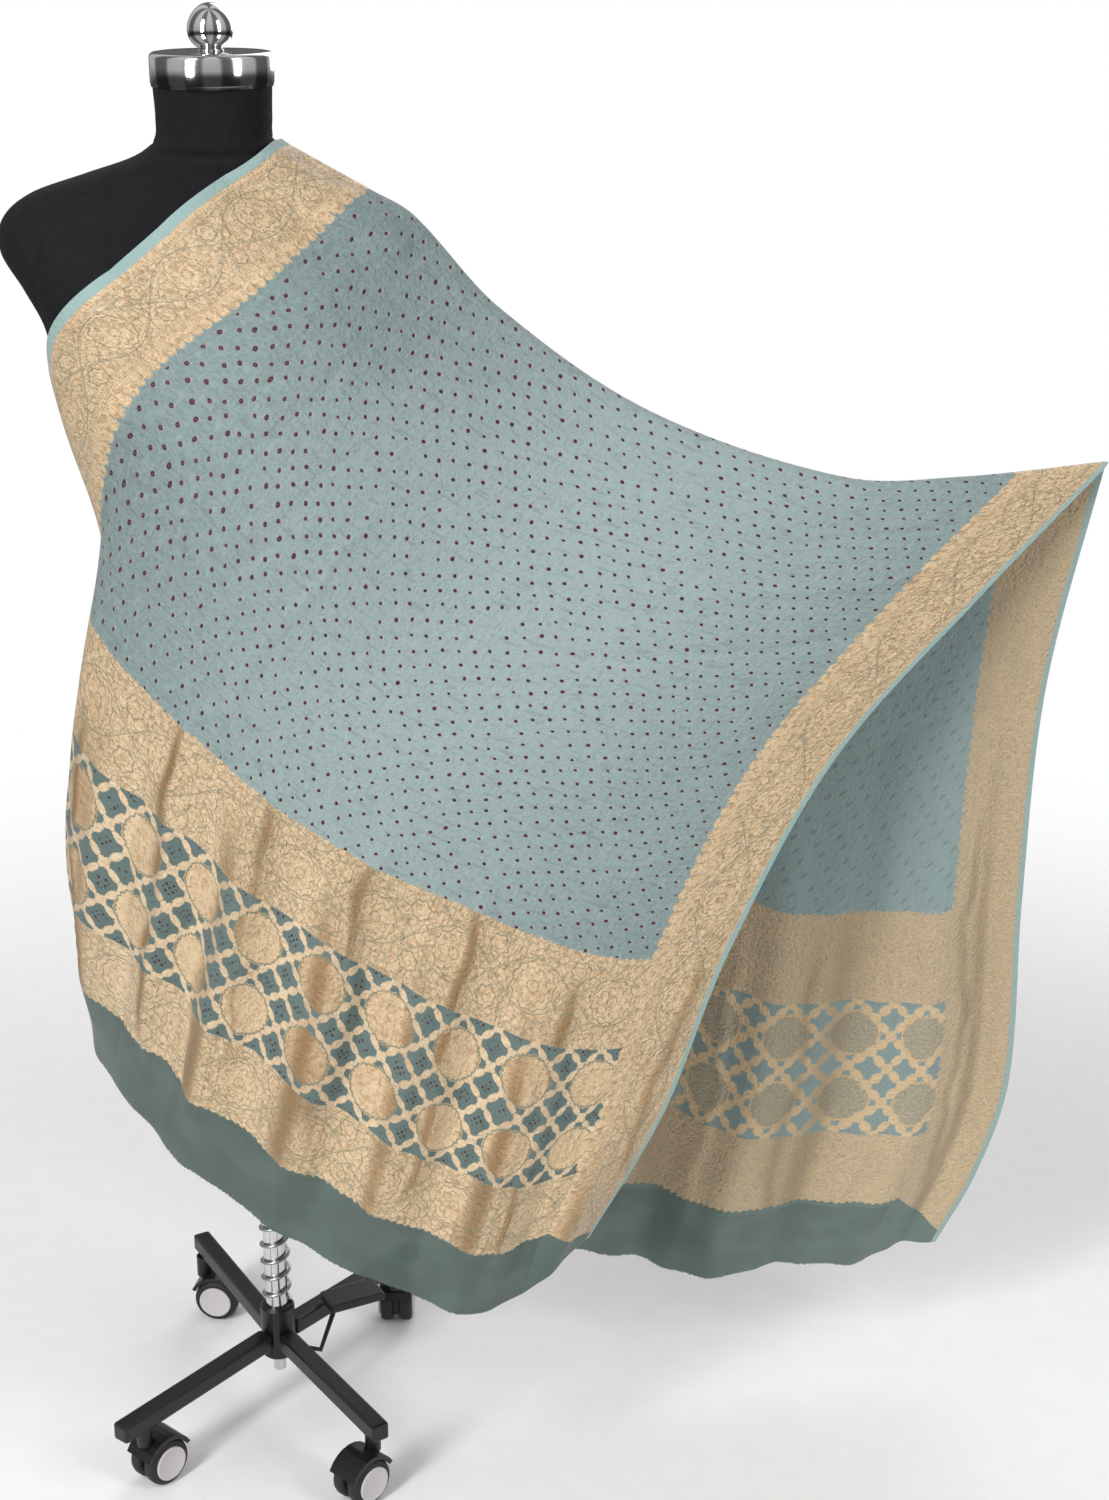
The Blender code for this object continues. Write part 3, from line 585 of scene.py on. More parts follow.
# The field's painted light: lit teal in the middle of the front, painted shade teal away from it
LIT_TEAL = colour(149, 166, 165)
PAINTED_SHADE_TEAL = colour(108, 126, 126)
PALE_STREAK_AND_HIGHLIGHT = colour(176, 194, 190)
# Pale streaks, and the painted highlight on the silk's crinkle ridges
THREAD_DARK = colour(82, 100, 99)
TIE_LIGHT = colour(178, 192, 186)
LATTICE_TEAL = colour(84, 102, 98)
SELVEDGE_BLUE = colour(150, 176, 172)
STRIP_TEAL = colour(82, 99, 93)
STRIP_REVERSE = colour(98, 116, 110)
MAROON = colour(58, 14, 30)
PINK = colour(150, 122, 130)
GOLD = colour(192, 160, 120)
PALE_GOLD = colour(214, 188, 150)
BROWN_GOLD = colour(146, 114, 76)
# Painted highlight on the gold foil's crinkle ridges
FOIL_HIGHLIGHT = colour(236, 214, 180)
# Painted shade and painted highlight of the folds in the gold
FOLD_PAINTED_SHADE = colour(138, 104, 62)
FOLD_PAINTED_HIGHLIGHT = colour(228, 202, 164)
BEAD_LIGHT = colour(222, 200, 168)
OUTLINE_TEAL = colour(112, 118, 98)
REVERSE_GOLD = colour(168, 153, 127)
REVERSE_PALE = colour(190, 172, 142)
REVERSE_DISC = colour(150, 148, 130)
REVERSE_BEAD = colour(224, 194, 150)
REVERSE_FLECK = colour(214, 182, 138)
# Painted shade of the folds on the reverse
REVERSE_FOLD_PAINTED_SHADE = colour(118, 104, 80)
REVERSE_TEAL = colour(148, 168, 166)
REVERSE_DOT = colour(116, 136, 134)


def metres(m):
    """The place on a sheet: as one vector, across it and along it."""
    uv = Wire(m, m.node("ShaderNodeUVMap", uv_map="metres").outputs[0])
    split = m.node("ShaderNodeSeparateXYZ")
    m.put(split.inputs[0], uv)
    return uv, Wire(m, split.outputs[0]), Wire(m, split.outputs[1])


def dot_count(m, u, v, rates):
    across_rate, along_rate, square, product, along_square = rates
    front = m.math("MAXIMUM", v, 0.0)
    return (u * across_rate + v * along_rate + u * u * square + u * v * product
            + v * front * along_square)


def motif_lines(m, a, c, pitch, radius, rosette, spread):
    """Outlines of medallions with a pair of rosettes, crossing stems and leaves between them."""
    x = m.wrap(a, pitch)
    distance = m.reach(x, c)
    angle = m.math("ARCTAN2", c, x)
    rim = distance + m.math("COSINE", angle * 12.0) * (0.05 * radius)
    lines = m.line(rim - radius, MOTIF_LINE)
    petals = distance - m.absolute(m.math("COSINE", angle * 5.0)) * (0.22 * radius)
    lines = m.most(lines, m.line(petals - 0.55 * radius, MOTIF_LINE) * 0.85)
    lines = m.most(lines, m.line(distance - 0.25 * radius, MOTIF_LINE) * 0.8)
    medallion = m.inside(distance, 1.12 * radius, 0.0005)
    y = m.wrap(a + 0.5 * pitch, pitch)
    small = m.reach(y, m.absolute(c) - spread)
    small_angle = m.math("ARCTAN2", m.absolute(c) - spread, y)
    small_rim = small + m.math("COSINE", small_angle * 7.0) * (0.09 * rosette)
    lines = m.most(lines, m.line(small_rim - rosette, 1.2 * MOTIF_LINE))
    lines = m.most(lines, m.line(small - 0.5 * rosette, 0.8 * MOTIF_LINE) * 0.5)
    small_area = m.inside(small, 1.15 * rosette, 0.0005)
    swing = m.math("COSINE", a * (math.pi / pitch)) * (radius + 0.0035)
    stems = m.most(m.line(c - swing, MOTIF_LINE), m.line(c + swing, MOTIF_LINE))
    side = m.most(m.line(c - swing * 0.86, 0.7 * MOTIF_LINE), m.line(c + swing * 0.86, 0.7 * MOTIF_LINE))
    free = (1.0 - medallion) * (1.0 - small_area)
    leaves = m.node("ShaderNodeTexVoronoi", feature="DISTANCE_TO_EDGE")
    m.put(leaves.inputs["Vector"], m.vector(a, c))
    leaves.inputs["Scale"].default_value = 120.0
    curls = m.rise(Wire(m, leaves.outputs["Distance"]), 0.03, 0.09, 1.0, 0.0) * free * 0.8
    stems = m.most(stems, side * 0.6) * free
    return m.most(lines, stems, curls)


# A place on the cloth: in metres, from the nearer selvedge, from the nearer hem, and its wander
Spot = namedtuple("Spot", "uv u v from_selvedge from_hem sway tremor jag")


def cloth_spot(m):
    """Hand work and weaving wander a little: the pattern is measured with that wander."""
    uv, u, v = metres(m)
    sway = m.noise(uv, 22.0, detail=2.0) - 0.5
    tremor = m.noise(uv, 160.0, detail=1.0) - 0.5
    from_selvedge = m.least(u, CLOTH_WIDTH + BORDER_B_SHIFT - u) + sway * 0.0022 + tremor * 0.0010
    from_hem = m.least(FRONT_LENGTH - v, BACK_HEM + v * BACK_RATE) + sway * 0.005 + tremor * 0.0015
    jag = m.noise(uv, 900.0, detail=1.0) - 0.5
    return Spot(uv, u, v, from_selvedge, from_hem, sway, tremor, jag)


def border_pattern(m, spot):
    """Border with its medallions, ropes and teeth: within its teeth, its gold, its lines, its plain edge."""
    b, w = spot.from_selvedge, spot.from_hem
    tooth = m.wrap(spot.v + spot.tremor * 0.002, TEETH_PITCH)
    hooked = m.absolute(tooth) * (1.0 / (0.5 * TEETH_PITCH))
    tooth_end = TEETH_END - hooked * hooked * hooked * TEETH_DEPTH + spot.jag * 0.0036
    in_border = m.rise(tooth_end - b, -WEAVE_EDGE, WEAVE_EDGE)
    on_side_b = m.rise(spot.u, 0.45, 0.55)
    border_foot = PLAIN_TOP - m.math("MAXIMUM", TEETH_END - b, 0.0) * on_side_b * 0.75
    over_plain = m.rise(w + spot.jag * 0.004 - border_foot, -THIN_LINE, THIN_LINE)
    inner_edge = b - on_side_b * NARROWER_SELVEDGE - SELVEDGE
    gold = in_border * m.rise(inner_edge, -0.0006, 0.0006) * over_plain
    motifs = motif_lines(
        m, spot.v, b - BORDER_MIDDLE, MEDALLION_PITCH, MEDALLION_RADIUS, ROSETTE_RADIUS, ROSETTE_SPREAD)
    middle = (m.rise(b, OUTER_ROPE + 0.0020, OUTER_ROPE + 0.0026)
              * m.inside(b, INNER_ROPE - 0.0032, WEAVE_EDGE))
    dashes = m.rise(m.math("SINE", spot.v * (2.0 * math.pi / ROPE_DASH)), -0.3, 0.3)
    ropes = m.most(
        m.line(b - OUTER_ROPE, 0.0006) * dashes, m.line(b - INNER_ROPE, 0.0006) * dashes,
        *[m.line(b - place, THIN_LINE) for place in (
            OUTER_ROPE - 0.0021, OUTER_ROPE + 0.0021, INNER_ROPE - 0.0024, INNER_ROPE + 0.0022)],
        m.line(b - INNER_ROPE - 0.0045, 0.0003))
    between = (m.line(m.absolute(tooth) - 0.5 * TEETH_PITCH, 0.0006)
               * m.rise(b, TEETH_START + 0.003, TEETH_START + 0.008))
    tooth_arch = m.reach(tooth, (b - (TEETH_START + 0.0085)) * 0.8)
    arches = m.line(tooth_arch - 0.0055, THIN_LINE) * 0.35
    lines = m.most(
        motifs * middle, ropes * 0.85, between, arches * m.rise(b, TEETH_START, TEETH_START + 0.001))
    return in_border, gold, lines * gold, inner_edge


def band_pattern(m, spot, inner):
    """The two gold bands of an end piece: their gold and their lines."""
    u, w = spot.u, spot.from_hem
    serration = m.absolute(m.wrap(u + spot.tremor * 0.003, SERRATION_PITCH)) * 0.5 + spot.jag * 0.004
    low_band = (m.rise(w - serration, PLAIN_TOP - 0.0030, PLAIN_TOP - 0.0022)
                * m.inside(w, LATTICE_LOW, THIN_LINE))
    high_band = (m.rise(w, LATTICE_HIGH - THIN_LINE, LATTICE_HIGH + THIN_LINE)
                 * m.inside(w + serration, BAND_TOP, 0.0006))
    low_lines = motif_lines(m, u + 0.02, w - LOW_BAND_MIDDLE, BAND_PITCH, BAND_MEDALLION, 0.0095, 0.024)
    high_lines = motif_lines(m, u, w - HIGH_BAND_MIDDLE, BAND_PITCH, BAND_MEDALLION, 0.0100, 0.027)
    guards = m.most(*[m.line(w - place, THIN_LINE) for place in (
        LATTICE_HIGH + 0.005, LATTICE_LOW - 0.005, BAND_TOP - 0.008, PLAIN_TOP + 0.008)])
    gold = m.most(low_band, high_band) * inner
    lines = m.most(low_lines * low_band, high_lines * high_band, guards * 0.7)
    return gold, lines * gold


# The lattice of an end piece: its area, its beads, its discs, its lines (with the painted shade of the discs'
# radial creases) and its dark specks
Lattice = namedtuple("Lattice", "area beads disc lines specks")


def lattice_pattern(m, spot, inner, is_reverse):
    """A slanted grid of beads: discs in every other square, a smaller cross in the rest."""
    w = spot.from_hem
    across_cells = (spot.u - LATTICE_START) * (1.0 / LATTICE_PITCH)
    along_cells = (w - LATTICE_LOW) * (1.0 / LATTICE_PITCH) + 0.5
    s = across_cells + along_cells
    t = across_cells - along_cells
    cell_s, cell_t = m.math("ROUND", s), m.math("ROUND", t)
    local_s, local_t = s - cell_s, t - cell_t
    parity = m.absolute(m.math("WRAP", cell_s + cell_t, 1.0, -1.0))
    is_cluster = m.rise(parity, 0.4, 0.6)
    is_disc = 1.0 - is_cluster
    side = LATTICE_PITCH / math.sqrt(2.0)
    edge_s = m.absolute(local_s) * -1.0 + 0.5
    edge_t = m.absolute(local_t) * -1.0 + 0.5
    bead_half_width = 0.0052 if is_reverse else 0.0037
    bead_half_length = 0.0073

    def beads(offset, position):
        """Beads end to end on a line."""
        bead = m.reach(offset * (side / bead_half_width), m.wrap(position, 0.25) * (side / bead_half_length))
        return m.inside(bead + spot.jag * 0.5, 1.0, 0.12)

    chain = m.most(beads(edge_s, local_t), beads(edge_t, local_s))
    cross = m.most(beads(local_s, local_t), beads(local_t, local_s)) * is_cluster
    disc_distance = m.reach(local_s, local_t)
    disc_angle = m.math("ARCTAN2", local_s, local_t)
    disc_edge = disc_distance + m.math("COSINE", disc_angle * 26.0) * 0.010 + spot.tremor * 0.05
    disc = m.inside(disc_edge, 0.50, 0.008) * is_disc
    # Painted shade in the discs' radial creases, as dark spokes
    crease_shade_spokes = (m.line(m.math("SINE", disc_angle * 11.0), 0.12, 0.1)
              * m.rise(disc_distance, 0.26, 0.36) * is_disc)
    area = (m.rise(w, LATTICE_LOW - THIN_LINE, LATTICE_LOW + THIN_LINE)
            * m.inside(w, LATTICE_HIGH, THIN_LINE) * inner)
    petals = disc_distance - m.absolute(m.math("COSINE", disc_angle * 4.0)) * 0.07
    drawn = m.most(crease_shade_spokes * 0.35, m.line(petals - 0.20, 0.009, 0.006) * 0.4) * disc
    rim = m.line(disc_edge - 0.470, 0.018, 0.008) * is_disc * 1.4

    all_beads = m.most(chain, cross)
    square = is_cluster * area * (1.0 - all_beads)
    speck_distance = m.reach(m.wrap(local_s, SPECK_PITCH) * side, m.wrap(local_t, SPECK_PITCH) * side)
    chosen = m.chance(
        m.math("ROUND", s * (1.0 / SPECK_PITCH)), m.math("ROUND", t * (1.0 / SPECK_PITCH)))[0]
    square_middle = m.inside(m.reach(m.wrap(local_s + 0.25, 0.5), m.wrap(local_t + 0.25, 0.5)), 0.12, 0.02)
    specks = m.inside(speck_distance, 0.0013, 0.0004) * m.rise(chosen, 0.40, 0.45) * square * square_middle
    return Lattice(area, all_beads, disc, m.most(drawn, rim) * area, specks)


# The tied dots of the field: the dyed dots, their pale rims and middles, and the light by each knot
Dots = namedtuple("Dots", "dyed rim hollow knot")


def dot_pattern(m, spot, field):
    u, v = spot.u, spot.v
    rows = dot_count(m, u, v, DOT_ROWS) + spot.sway * 0.6
    columns = dot_count(m, u, v, DOT_COLUMNS) - spot.sway * 0.7
    row, column = m.math("ROUND", rows), m.math("ROUND", columns)
    first, second, third = m.chance(row, column)
    dot_x = (columns - column + (first - 0.5) * 0.20) * DOT_PITCH
    dot_y = (rows - row + (second - 0.5) * 0.18) * DOT_PITCH
    distance = m.reach(dot_x, dot_y)
    near_left = m.inside(m.absolute(u - 0.12) + m.absolute(v - 0.36), 0.20, 0.12)
    size = 0.0016 + third * 0.0006 + near_left * 0.0006
    kept = m.rise(third, 0.035, 0.04) * field
    dyed = m.rise(size - distance, -0.0004, 0.0004) * kept
    rim = m.rise(size + 0.0008 - distance, -0.0005, 0.0005) * kept
    hollow = m.inside(distance, 0.0007, 0.0005) * near_left * dyed
    tie = m.reach((dot_x + dot_y * 0.5 - 0.0016) * 0.45, dot_y - dot_x * 0.5 + 0.0014)
    return Dots(dyed, rim, hollow, m.inside(tie, 0.0011, 0.0008) * kept)


def cloth_material(name, is_reverse):
    m = Maker(name)
    spot = cloth_spot(m)
    uv, w = spot.uv, spot.from_hem
    in_border, border, border_lines, inner_edge = border_pattern(m, spot)
    inner = 1.0 - in_border
    bands, band_lines = band_pattern(m, spot, inner)
    lattice = lattice_pattern(m, spot, inner, is_reverse)
    field = (m.rise(w, BAND_TOP - 0.002, BAND_TOP) * inner
             * m.rise(spot.from_selvedge, TEETH_END + 0.002, TEETH_END + 0.004))
    dots = dot_pattern(m, spot, field)

    cloud = m.noise(uv, 5.0, detail=2.0) - 0.5
    grain = m.noise(m.stretch(uv, 1.0, 0.25), 1500.0, detail=1.0)
    streak = m.noise(m.stretch(uv, 1.0, 0.22), 190.0, detail=1.0)
    streak_across = m.noise(m.stretch(uv, 0.25, 1.0), 170.0, detail=1.0)
    crease = m.noise(uv, 125.0, detail=2.0, rough=0.6)
    # Painted highlight along the tops of the crinkles that the bump below raises
    ridge_highlight = m.rise(m.absolute(crease - 0.5), 0.0, 0.10, 1.0, 0.0)
    # Painted shade of the folds, stored on the mesh: positive in the troughs, negative on the ridges for a
    # painted highlight
    folds = m.attribute("fold_shade")
    gold = m.most(border, bands, m.most(lattice.beads, lattice.disc) * lattice.area)
    # Drawn lines; on the face they also lay the painted shade of the lattice discs' radial creases
    ink_and_crease_shade = m.most(border_lines, band_lines, lattice.lines)
    worn = m.rise(spot.jag, -0.10, 0.04, 0.25, 1.0)

    # Dyed silk, under a painted pool of light: lightest near the middle of the front, painted shade away from
    # it
    painted_light_falloff = m.reach((spot.u - 0.50) * 1.6, spot.v - 0.30) + cloud * 0.25
    teal = m.mix(m.rise(painted_light_falloff, 0.05, 0.85), LIT_TEAL, PAINTED_SHADE_TEAL)
    # Painted highlight on the crinkle ridges, with pale streaks
    teal = m.mix(ridge_highlight * 0.16 + m.rise(streak, 0.54, 0.70) * 0.12, teal, PALE_STREAK_AND_HIGHLIGHT)
    teal = m.mix(m.rise(streak_across, 0.30, 0.44, 1.0, 0.0) * field * 0.22, teal, THREAD_DARK)
    teal = m.mix(dots.knot * 0.6, teal, TIE_LIGHT)
    teal = m.mix(lattice.area * 0.85, teal, LATTICE_TEAL)
    selvedge = m.inside(inner_edge, 0.0, 0.0006)
    teal = m.mix(selvedge * 0.9, teal, SELVEDGE_BLUE)
    strip = m.inside(w, PLAIN_TOP + 0.002, 0.002) * (1.0 - border) * (1.0 - selvedge)
    teal = m.mix(strip, teal, STRIP_TEAL)
    teal = m.mix(dots.rim * 0.5, teal, PINK)
    teal = m.mix(dots.dyed, teal, MAROON)
    teal = m.mix(dots.hollow * 0.6, teal, PINK)
    teal = m.mix(lattice.specks, teal, MAROON)

    if is_reverse:
        dull = m.mix(m.rise(grain, 0.3, 0.7), REVERSE_GOLD, REVERSE_PALE)
        dull = m.mix(lattice.disc * lattice.area * 0.85, dull, REVERSE_DISC)
        dull = m.mix(lattice.beads * lattice.area * 0.6, dull, REVERSE_BEAD)
        fleck = m.rise(m.noise(uv, 420.0, detail=2.0), 0.52, 0.62)
        dull = m.mix(m.most(fleck * 0.55, ink_and_crease_shade * worn * 0.8), dull, REVERSE_FLECK)
        # Painted shade in the folds' troughs
        dull = m.mix(m.rise(folds, 0.02, 0.80) * 0.5, dull, REVERSE_FOLD_PAINTED_SHADE)
        paler = m.mix(0.6, teal, REVERSE_TEAL)
        worn_teal = m.mix(m.most(dots.dyed, dots.rim) * 0.75, paler, REVERSE_DOT)
        worn_teal = m.mix(strip, worn_teal, STRIP_REVERSE)
        base = m.mix(gold, worn_teal, dull)
    else:
        # Gold thread: crinkled, with painted shade in the folds' troughs and a painted highlight on their
        # ridges
        zari = m.mix(m.rise(grain, 0.35, 0.7), GOLD, PALE_GOLD)
        zari = m.mix(m.rise(crease, 0.46, 0.64) * 0.26, zari, BROWN_GOLD)
        # Painted highlight on the foil's crinkle ridges
        zari = m.mix(ridge_highlight * 0.40, zari, FOIL_HIGHLIGHT)
        zari = m.mix(m.rise(streak, 0.48, 0.72) * 0.20, zari, BROWN_GOLD)
        zari = m.mix(m.rise(folds, 0.02, 0.72), zari, FOLD_PAINTED_SHADE)
        zari = m.mix(m.rise(folds, -0.80, -0.05, 1.0, 0.0) * 0.6, zari, FOLD_PAINTED_HIGHLIGHT)
        zari = m.mix(lattice.beads * lattice.area * 0.5, zari, BEAD_LIGHT)
        zari = m.mix(ink_and_crease_shade * worn * 0.84, zari, OUTLINE_TEAL)
        base = m.mix(gold, teal, zari)

    # The bumps read noises alone: their heights would keep too much of the pattern in memory
    fine = m.bump(grain, 0.0002, 0.5)
    ridged = m.absolute(crease - 0.5) * -1.0
    normal = m.bump(ridged * 2.0 + streak * 0.3, 0.0034, m.rise(gold, 0.0, 1.0, 0.45, 0.9), under=fine)
    return m.set(
        Base_Color=base, Roughness=m.rise(gold, 0.0, 1.0, 0.72, 0.48), Normal=normal,
        Sheen_Weight=0.25, Sheen_Roughness=0.4)


def strip_material(name, base):
    """The plain sheer cloth below the gold bands, with loose threads along its hem."""
    m = Maker(name)
    uv, u, v = metres(m)
    hem = m.least(FRONT_LENGTH - v, v + BACK_LENGTH)
    selvedge = m.inside(m.least(u, CLOTH_WIDTH - u), SELVEDGE, 0.0010)
    threads = m.noise(m.stretch(uv, 1.0, 0.08), 700.0, detail=1.0)
    streak = m.noise(m.stretch(uv, 0.5, 0.8), 30.0, detail=2.0)
    tint = m.mix(m.rise(streak, 0.35, 0.7), shaded(base, 0.78), shaded(base, 1.02))
    tint = m.mix(selvedge * 0.8, tint, SELVEDGE_BLUE)
    solid = m.rise(hem - threads * 0.006 + 0.0020, -0.0003, 0.0003)
    crease = m.noise(m.stretch(uv, 1.0, 0.4), 45.0, detail=2.0)
    return m.set(
        Base_Color=tint, Roughness=0.75, Normal=m.bump(crease, 0.004, 0.5),
        Alpha=solid * (0.84 + selvedge * 0.14), Sheen_Weight=0.25)


def plain_material(name, base, rough, metallic=0.0, scale=400.0):
    m = Maker(name)
    place = Wire(m, m.node("ShaderNodeTexCoord").outputs["Object"])
    grain = m.noise(place, scale)
    return m.set(Base_Color=m.mix(grain, shaded(base, 0.8), base), Roughness=rough, Metallic=metallic)


# The knit's columns and rows of stitches, as angle per metre
WALES = 4200.0
COURSES = 3600.0
JERSEY_DARK = (0.0034, 0.0037, 0.0052)
JERSEY_LIGHT = (0.0056, 0.0061, 0.0082)


def jersey_material(name):
    """Fine black knit with its stitches in columns and rows."""
    m = Maker(name)
    uv, u, v = metres(m)
    wale = m.math("SINE", u * WALES)
    course = m.math("SINE", v * COURSES)
    lint = m.noise(uv, 60.0, detail=3.0)
    base = m.mix(m.rise(lint, 0.35, 0.75), JERSEY_DARK, JERSEY_LIGHT)
    return m.set(
        Base_Color=base, Roughness=0.78, Normal=m.bump(wale + course, 0.0002, 0.4),
        Specular_IOR_Level=0.26, Sheen_Weight=0.02)


silk_face = cloth_material("silk_face", False)
silk_reverse = cloth_material("silk_reverse", True)
sheer_face = strip_material("sheer_face", STRIP_TEAL)
sheer_reverse = strip_material("sheer_reverse", STRIP_REVERSE)
jersey = jersey_material("jersey")
chrome = plain_material("chrome_finish", (0.75, 0.75, 0.75), 0.12, 1.0)
spring_finish = plain_material("spring_finish", (0.5, 0.5, 0.5), 0.3, 1.0)
enamel = plain_material("enamel_finish", (0.0060, 0.0056, 0.0056), 0.38)
rubber = plain_material("rubber_finish", (0.010, 0.010, 0.011), 0.6)
pale = plain_material("pale_finish", (0.62, 0.58, 0.59), 0.45)

# ---- cloth ----

# The two skins of the sheet meet within this distance of its edges
EDGE_TAPER = 0.004
# Heights that the shade of a soft fold and of a crease are counted in
FOLD_SHADE_HEIGHT = 0.012
CREASE_SHADE_HEIGHT = 0.0042

across = np.linspace(0.0, CLOTH_WIDTH, CLOTH_COLUMNS + 1)
along = np.concatenate([
    -np.linspace(BACK_LENGTH, 0.0, BACK_ROWS, endpoint=False),
    np.linspace(0.0, FRONT_LENGTH, FRONT_ROWS + 1)])
base_surface = draped(across, along)
base_normals = surface_normals(base_surface)
soft_folds = fold_heights(across, along)
creases = crease_heights(across, along)
calm = 1.0 - 0.65 * smooth_step(0.94, 1.02, along)[:, None]
relief = (1.2 * soft_folds + creases) * calm
sheet = clear_of_form(base_surface + base_normals * relief[..., None], FORM_CLEARANCE)
sheet = hem_drawn_in(sheet, across, along)
normals = surface_normals(sheet)
uvs = np.stack(np.meshgrid(across, along), axis=-1)

edge = np.minimum(
    np.minimum(across, CLOTH_WIDTH - across)[None, :],
    np.minimum(FRONT_LENGTH - along, along + BACK_LENGTH)[:, None])
half_gap = 0.5 * SKIN_GAP * np.clip(edge / EDGE_TAPER, 0.0, 1.0)

# Painted shade of the folds: one in the troughs and on the flanks turned from the light, minus one on the
# ridges for a painted highlight
flank = np.gradient(relief, axis=1) / (across[1] - across[0])
height_shade = -0.40 * soft_folds / FOLD_SHADE_HEIGHT - 0.45 * creases / CREASE_SHADE_HEIGHT
fold_shade = np.clip(height_shade * calm - 0.7 * flank, -1.0, 1.0)

face = grid_object("cloth_face", sheet - normals * half_gap[..., None], uvs, silk_face, flip=True)
reverse = grid_object("cloth_reverse", sheet + normals * half_gap[..., None], uvs, silk_reverse)

# The plain strips along the hems have the sheer finish
column_u = 0.5 * (across[1:] + across[:-1])
row_v = 0.5 * (along[1:] + along[:-1])
height_up = np.minimum(FRONT_LENGTH - row_v, BACK_HEM + row_v * BACK_RATE)[:, None]
off_border = (column_u < 0.5 * CLOTH_WIDTH) | (CLOTH_WIDTH + BORDER_B_SHIFT - column_u > TEETH_END + 0.006)
in_strip = (height_up < PLAIN_TOP - 0.006) & off_border[None, :]
for item, sheer in ((face, sheer_face), (reverse, sheer_reverse)):
    item.data.materials.append(sheer)
    item.data.polygons.foreach_set("material_index", in_strip.astype(np.int32).ravel())
    # Painted shade of the folds, read by both silk finishes
    shade = item.data.attributes.new("fold_shade", "FLOAT", "POINT")
    shade.data.foreach_set("value", fold_shade.astype(np.float32).ravel())

# ---- form ----

SIDES, RINGS = 320, 240
SEAM_DEPTH = 0.0026
SEAM_HALF_WIDTH = 0.0024
WAIST_HEIGHT = 0.95
ARMHOLE_BOTTOM = 1.17
ARMHOLE_TOP = 1.345
angles = np.linspace(0.0, 2.0 * math.pi, SIDES + 1)
heights = np.linspace(FORM_BOTTOM, NECK_TOP, RINGS + 1)
unit_x = np.copysign(np.abs(np.cos(angles)) ** (2.0 / FORM_POWER), np.cos(angles))[None, :]
unit_y = np.copysign(np.abs(np.sin(angles)) ** (2.0 / FORM_POWER), np.sin(angles))[None, :]
left, right, front, back = [reach[:, None] for reach in form_reach(heights)]
form_x = unit_x * np.where(unit_x > 0.0, right, left)
form_y = unit_y * np.where(unit_y < 0.0, front + bust_rise(form_x, heights[:, None]), back)
level_z = np.broadcast_to(heights[:, None], form_x.shape)

# Each seam as its distance from every point; far away where the seam doesn't run
princess = np.abs(form_x) - (
    0.066 + 0.10 * np.clip(level_z - BUST_HEIGHT, 0.0, 0.2)
    + 0.05 * np.clip(level_z - WAIST_HEIGHT, -0.2, 0.2))
armhole = np.where(
    (level_z > ARMHOLE_BOTTOM) & (level_z < ARMHOLE_TOP),
    np.abs(form_x) - 0.170 + 5.0 * (level_z - 1.26) ** 2, 1.0)
neck_base = level_z - 1.390 - 0.18 * form_y
side_seam = np.where(level_z < ARMHOLE_BOTTOM, form_y, 1.0)
seams = sum(np.exp(-(line / SEAM_HALF_WIDTH) ** 2) for line in (princess, armhole, neck_base, side_seam))
inward = 1.0 - SEAM_DEPTH * np.clip(seams, 0.0, 1.0) / np.hypot(form_x, form_y)
form_points = np.stack([form_x * inward, form_y * inward, level_z], axis=-1)
form_uvs = np.stack(np.meshgrid(angles * 0.14, heights), axis=-1)
form = grid_object("form_jersey", form_points, form_uvs, jersey)

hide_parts("bandhani_cloth")
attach(face, "root")
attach(reverse, "root")
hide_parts("form_body")
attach(form, "root")

# ---- turned pieces, spring and finishes ----

def lathe(name, profile, material, place, axis=(0.0, 0.0, 1.0), sides=96):
    """A smooth turned piece in place of the solid of the same name."""
    outline = np.array(profile)
    angles = np.linspace(0.0, 2.0 * math.pi, sides + 1)
    along_axis = np.array(axis)
    first = np.array([-axis[1], axis[0], 0.0]) if abs(axis[2]) < 0.5 else np.array([1.0, 0.0, 0.0])
    second = np.cross(along_axis, first)
    ring = np.cos(angles)[:, None] * first + np.sin(angles)[:, None] * second
    points = (outline[:, 1][:, None, None] * along_axis + outline[:, 0][:, None, None] * ring[None]
              + np.array(place) - AXIS)
    uvs = np.stack(np.meshgrid(angles * 0.02, outline[:, 1]), axis=-1)
    item = grid_object(name + "_smooth", points, uvs, material, flip=True)
    item.data.set_sharp_from_angle(angle=math.radians(40.0))
    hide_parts(name)
    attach(item, "root")
    return item


def middle_of(name):
    low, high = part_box(name)
    return 0.5 * (low + high), high - low


cap_middle, cap_size = middle_of("neck_cap")
cap_radius, cap_half = 0.5 * cap_size.x, 0.5 * cap_size.z
lathe("neck_cap", [
    (0.0, cap_half), (cap_radius - 0.0060, cap_half), (cap_radius - 0.0030, cap_half - 0.0004),
    (cap_radius - 0.0010, cap_half - 0.0018), (cap_radius, cap_half - 0.0042), (cap_radius, 0.004 - cap_half),
    (cap_radius - 0.0004, 0.003 - cap_half), (cap_radius - 0.0010, -cap_half), (0.0, -cap_half)],
    chrome, cap_middle)

knob_middle, knob_size = middle_of("cap_knob")
knob_half = 0.5 * knob_size.z
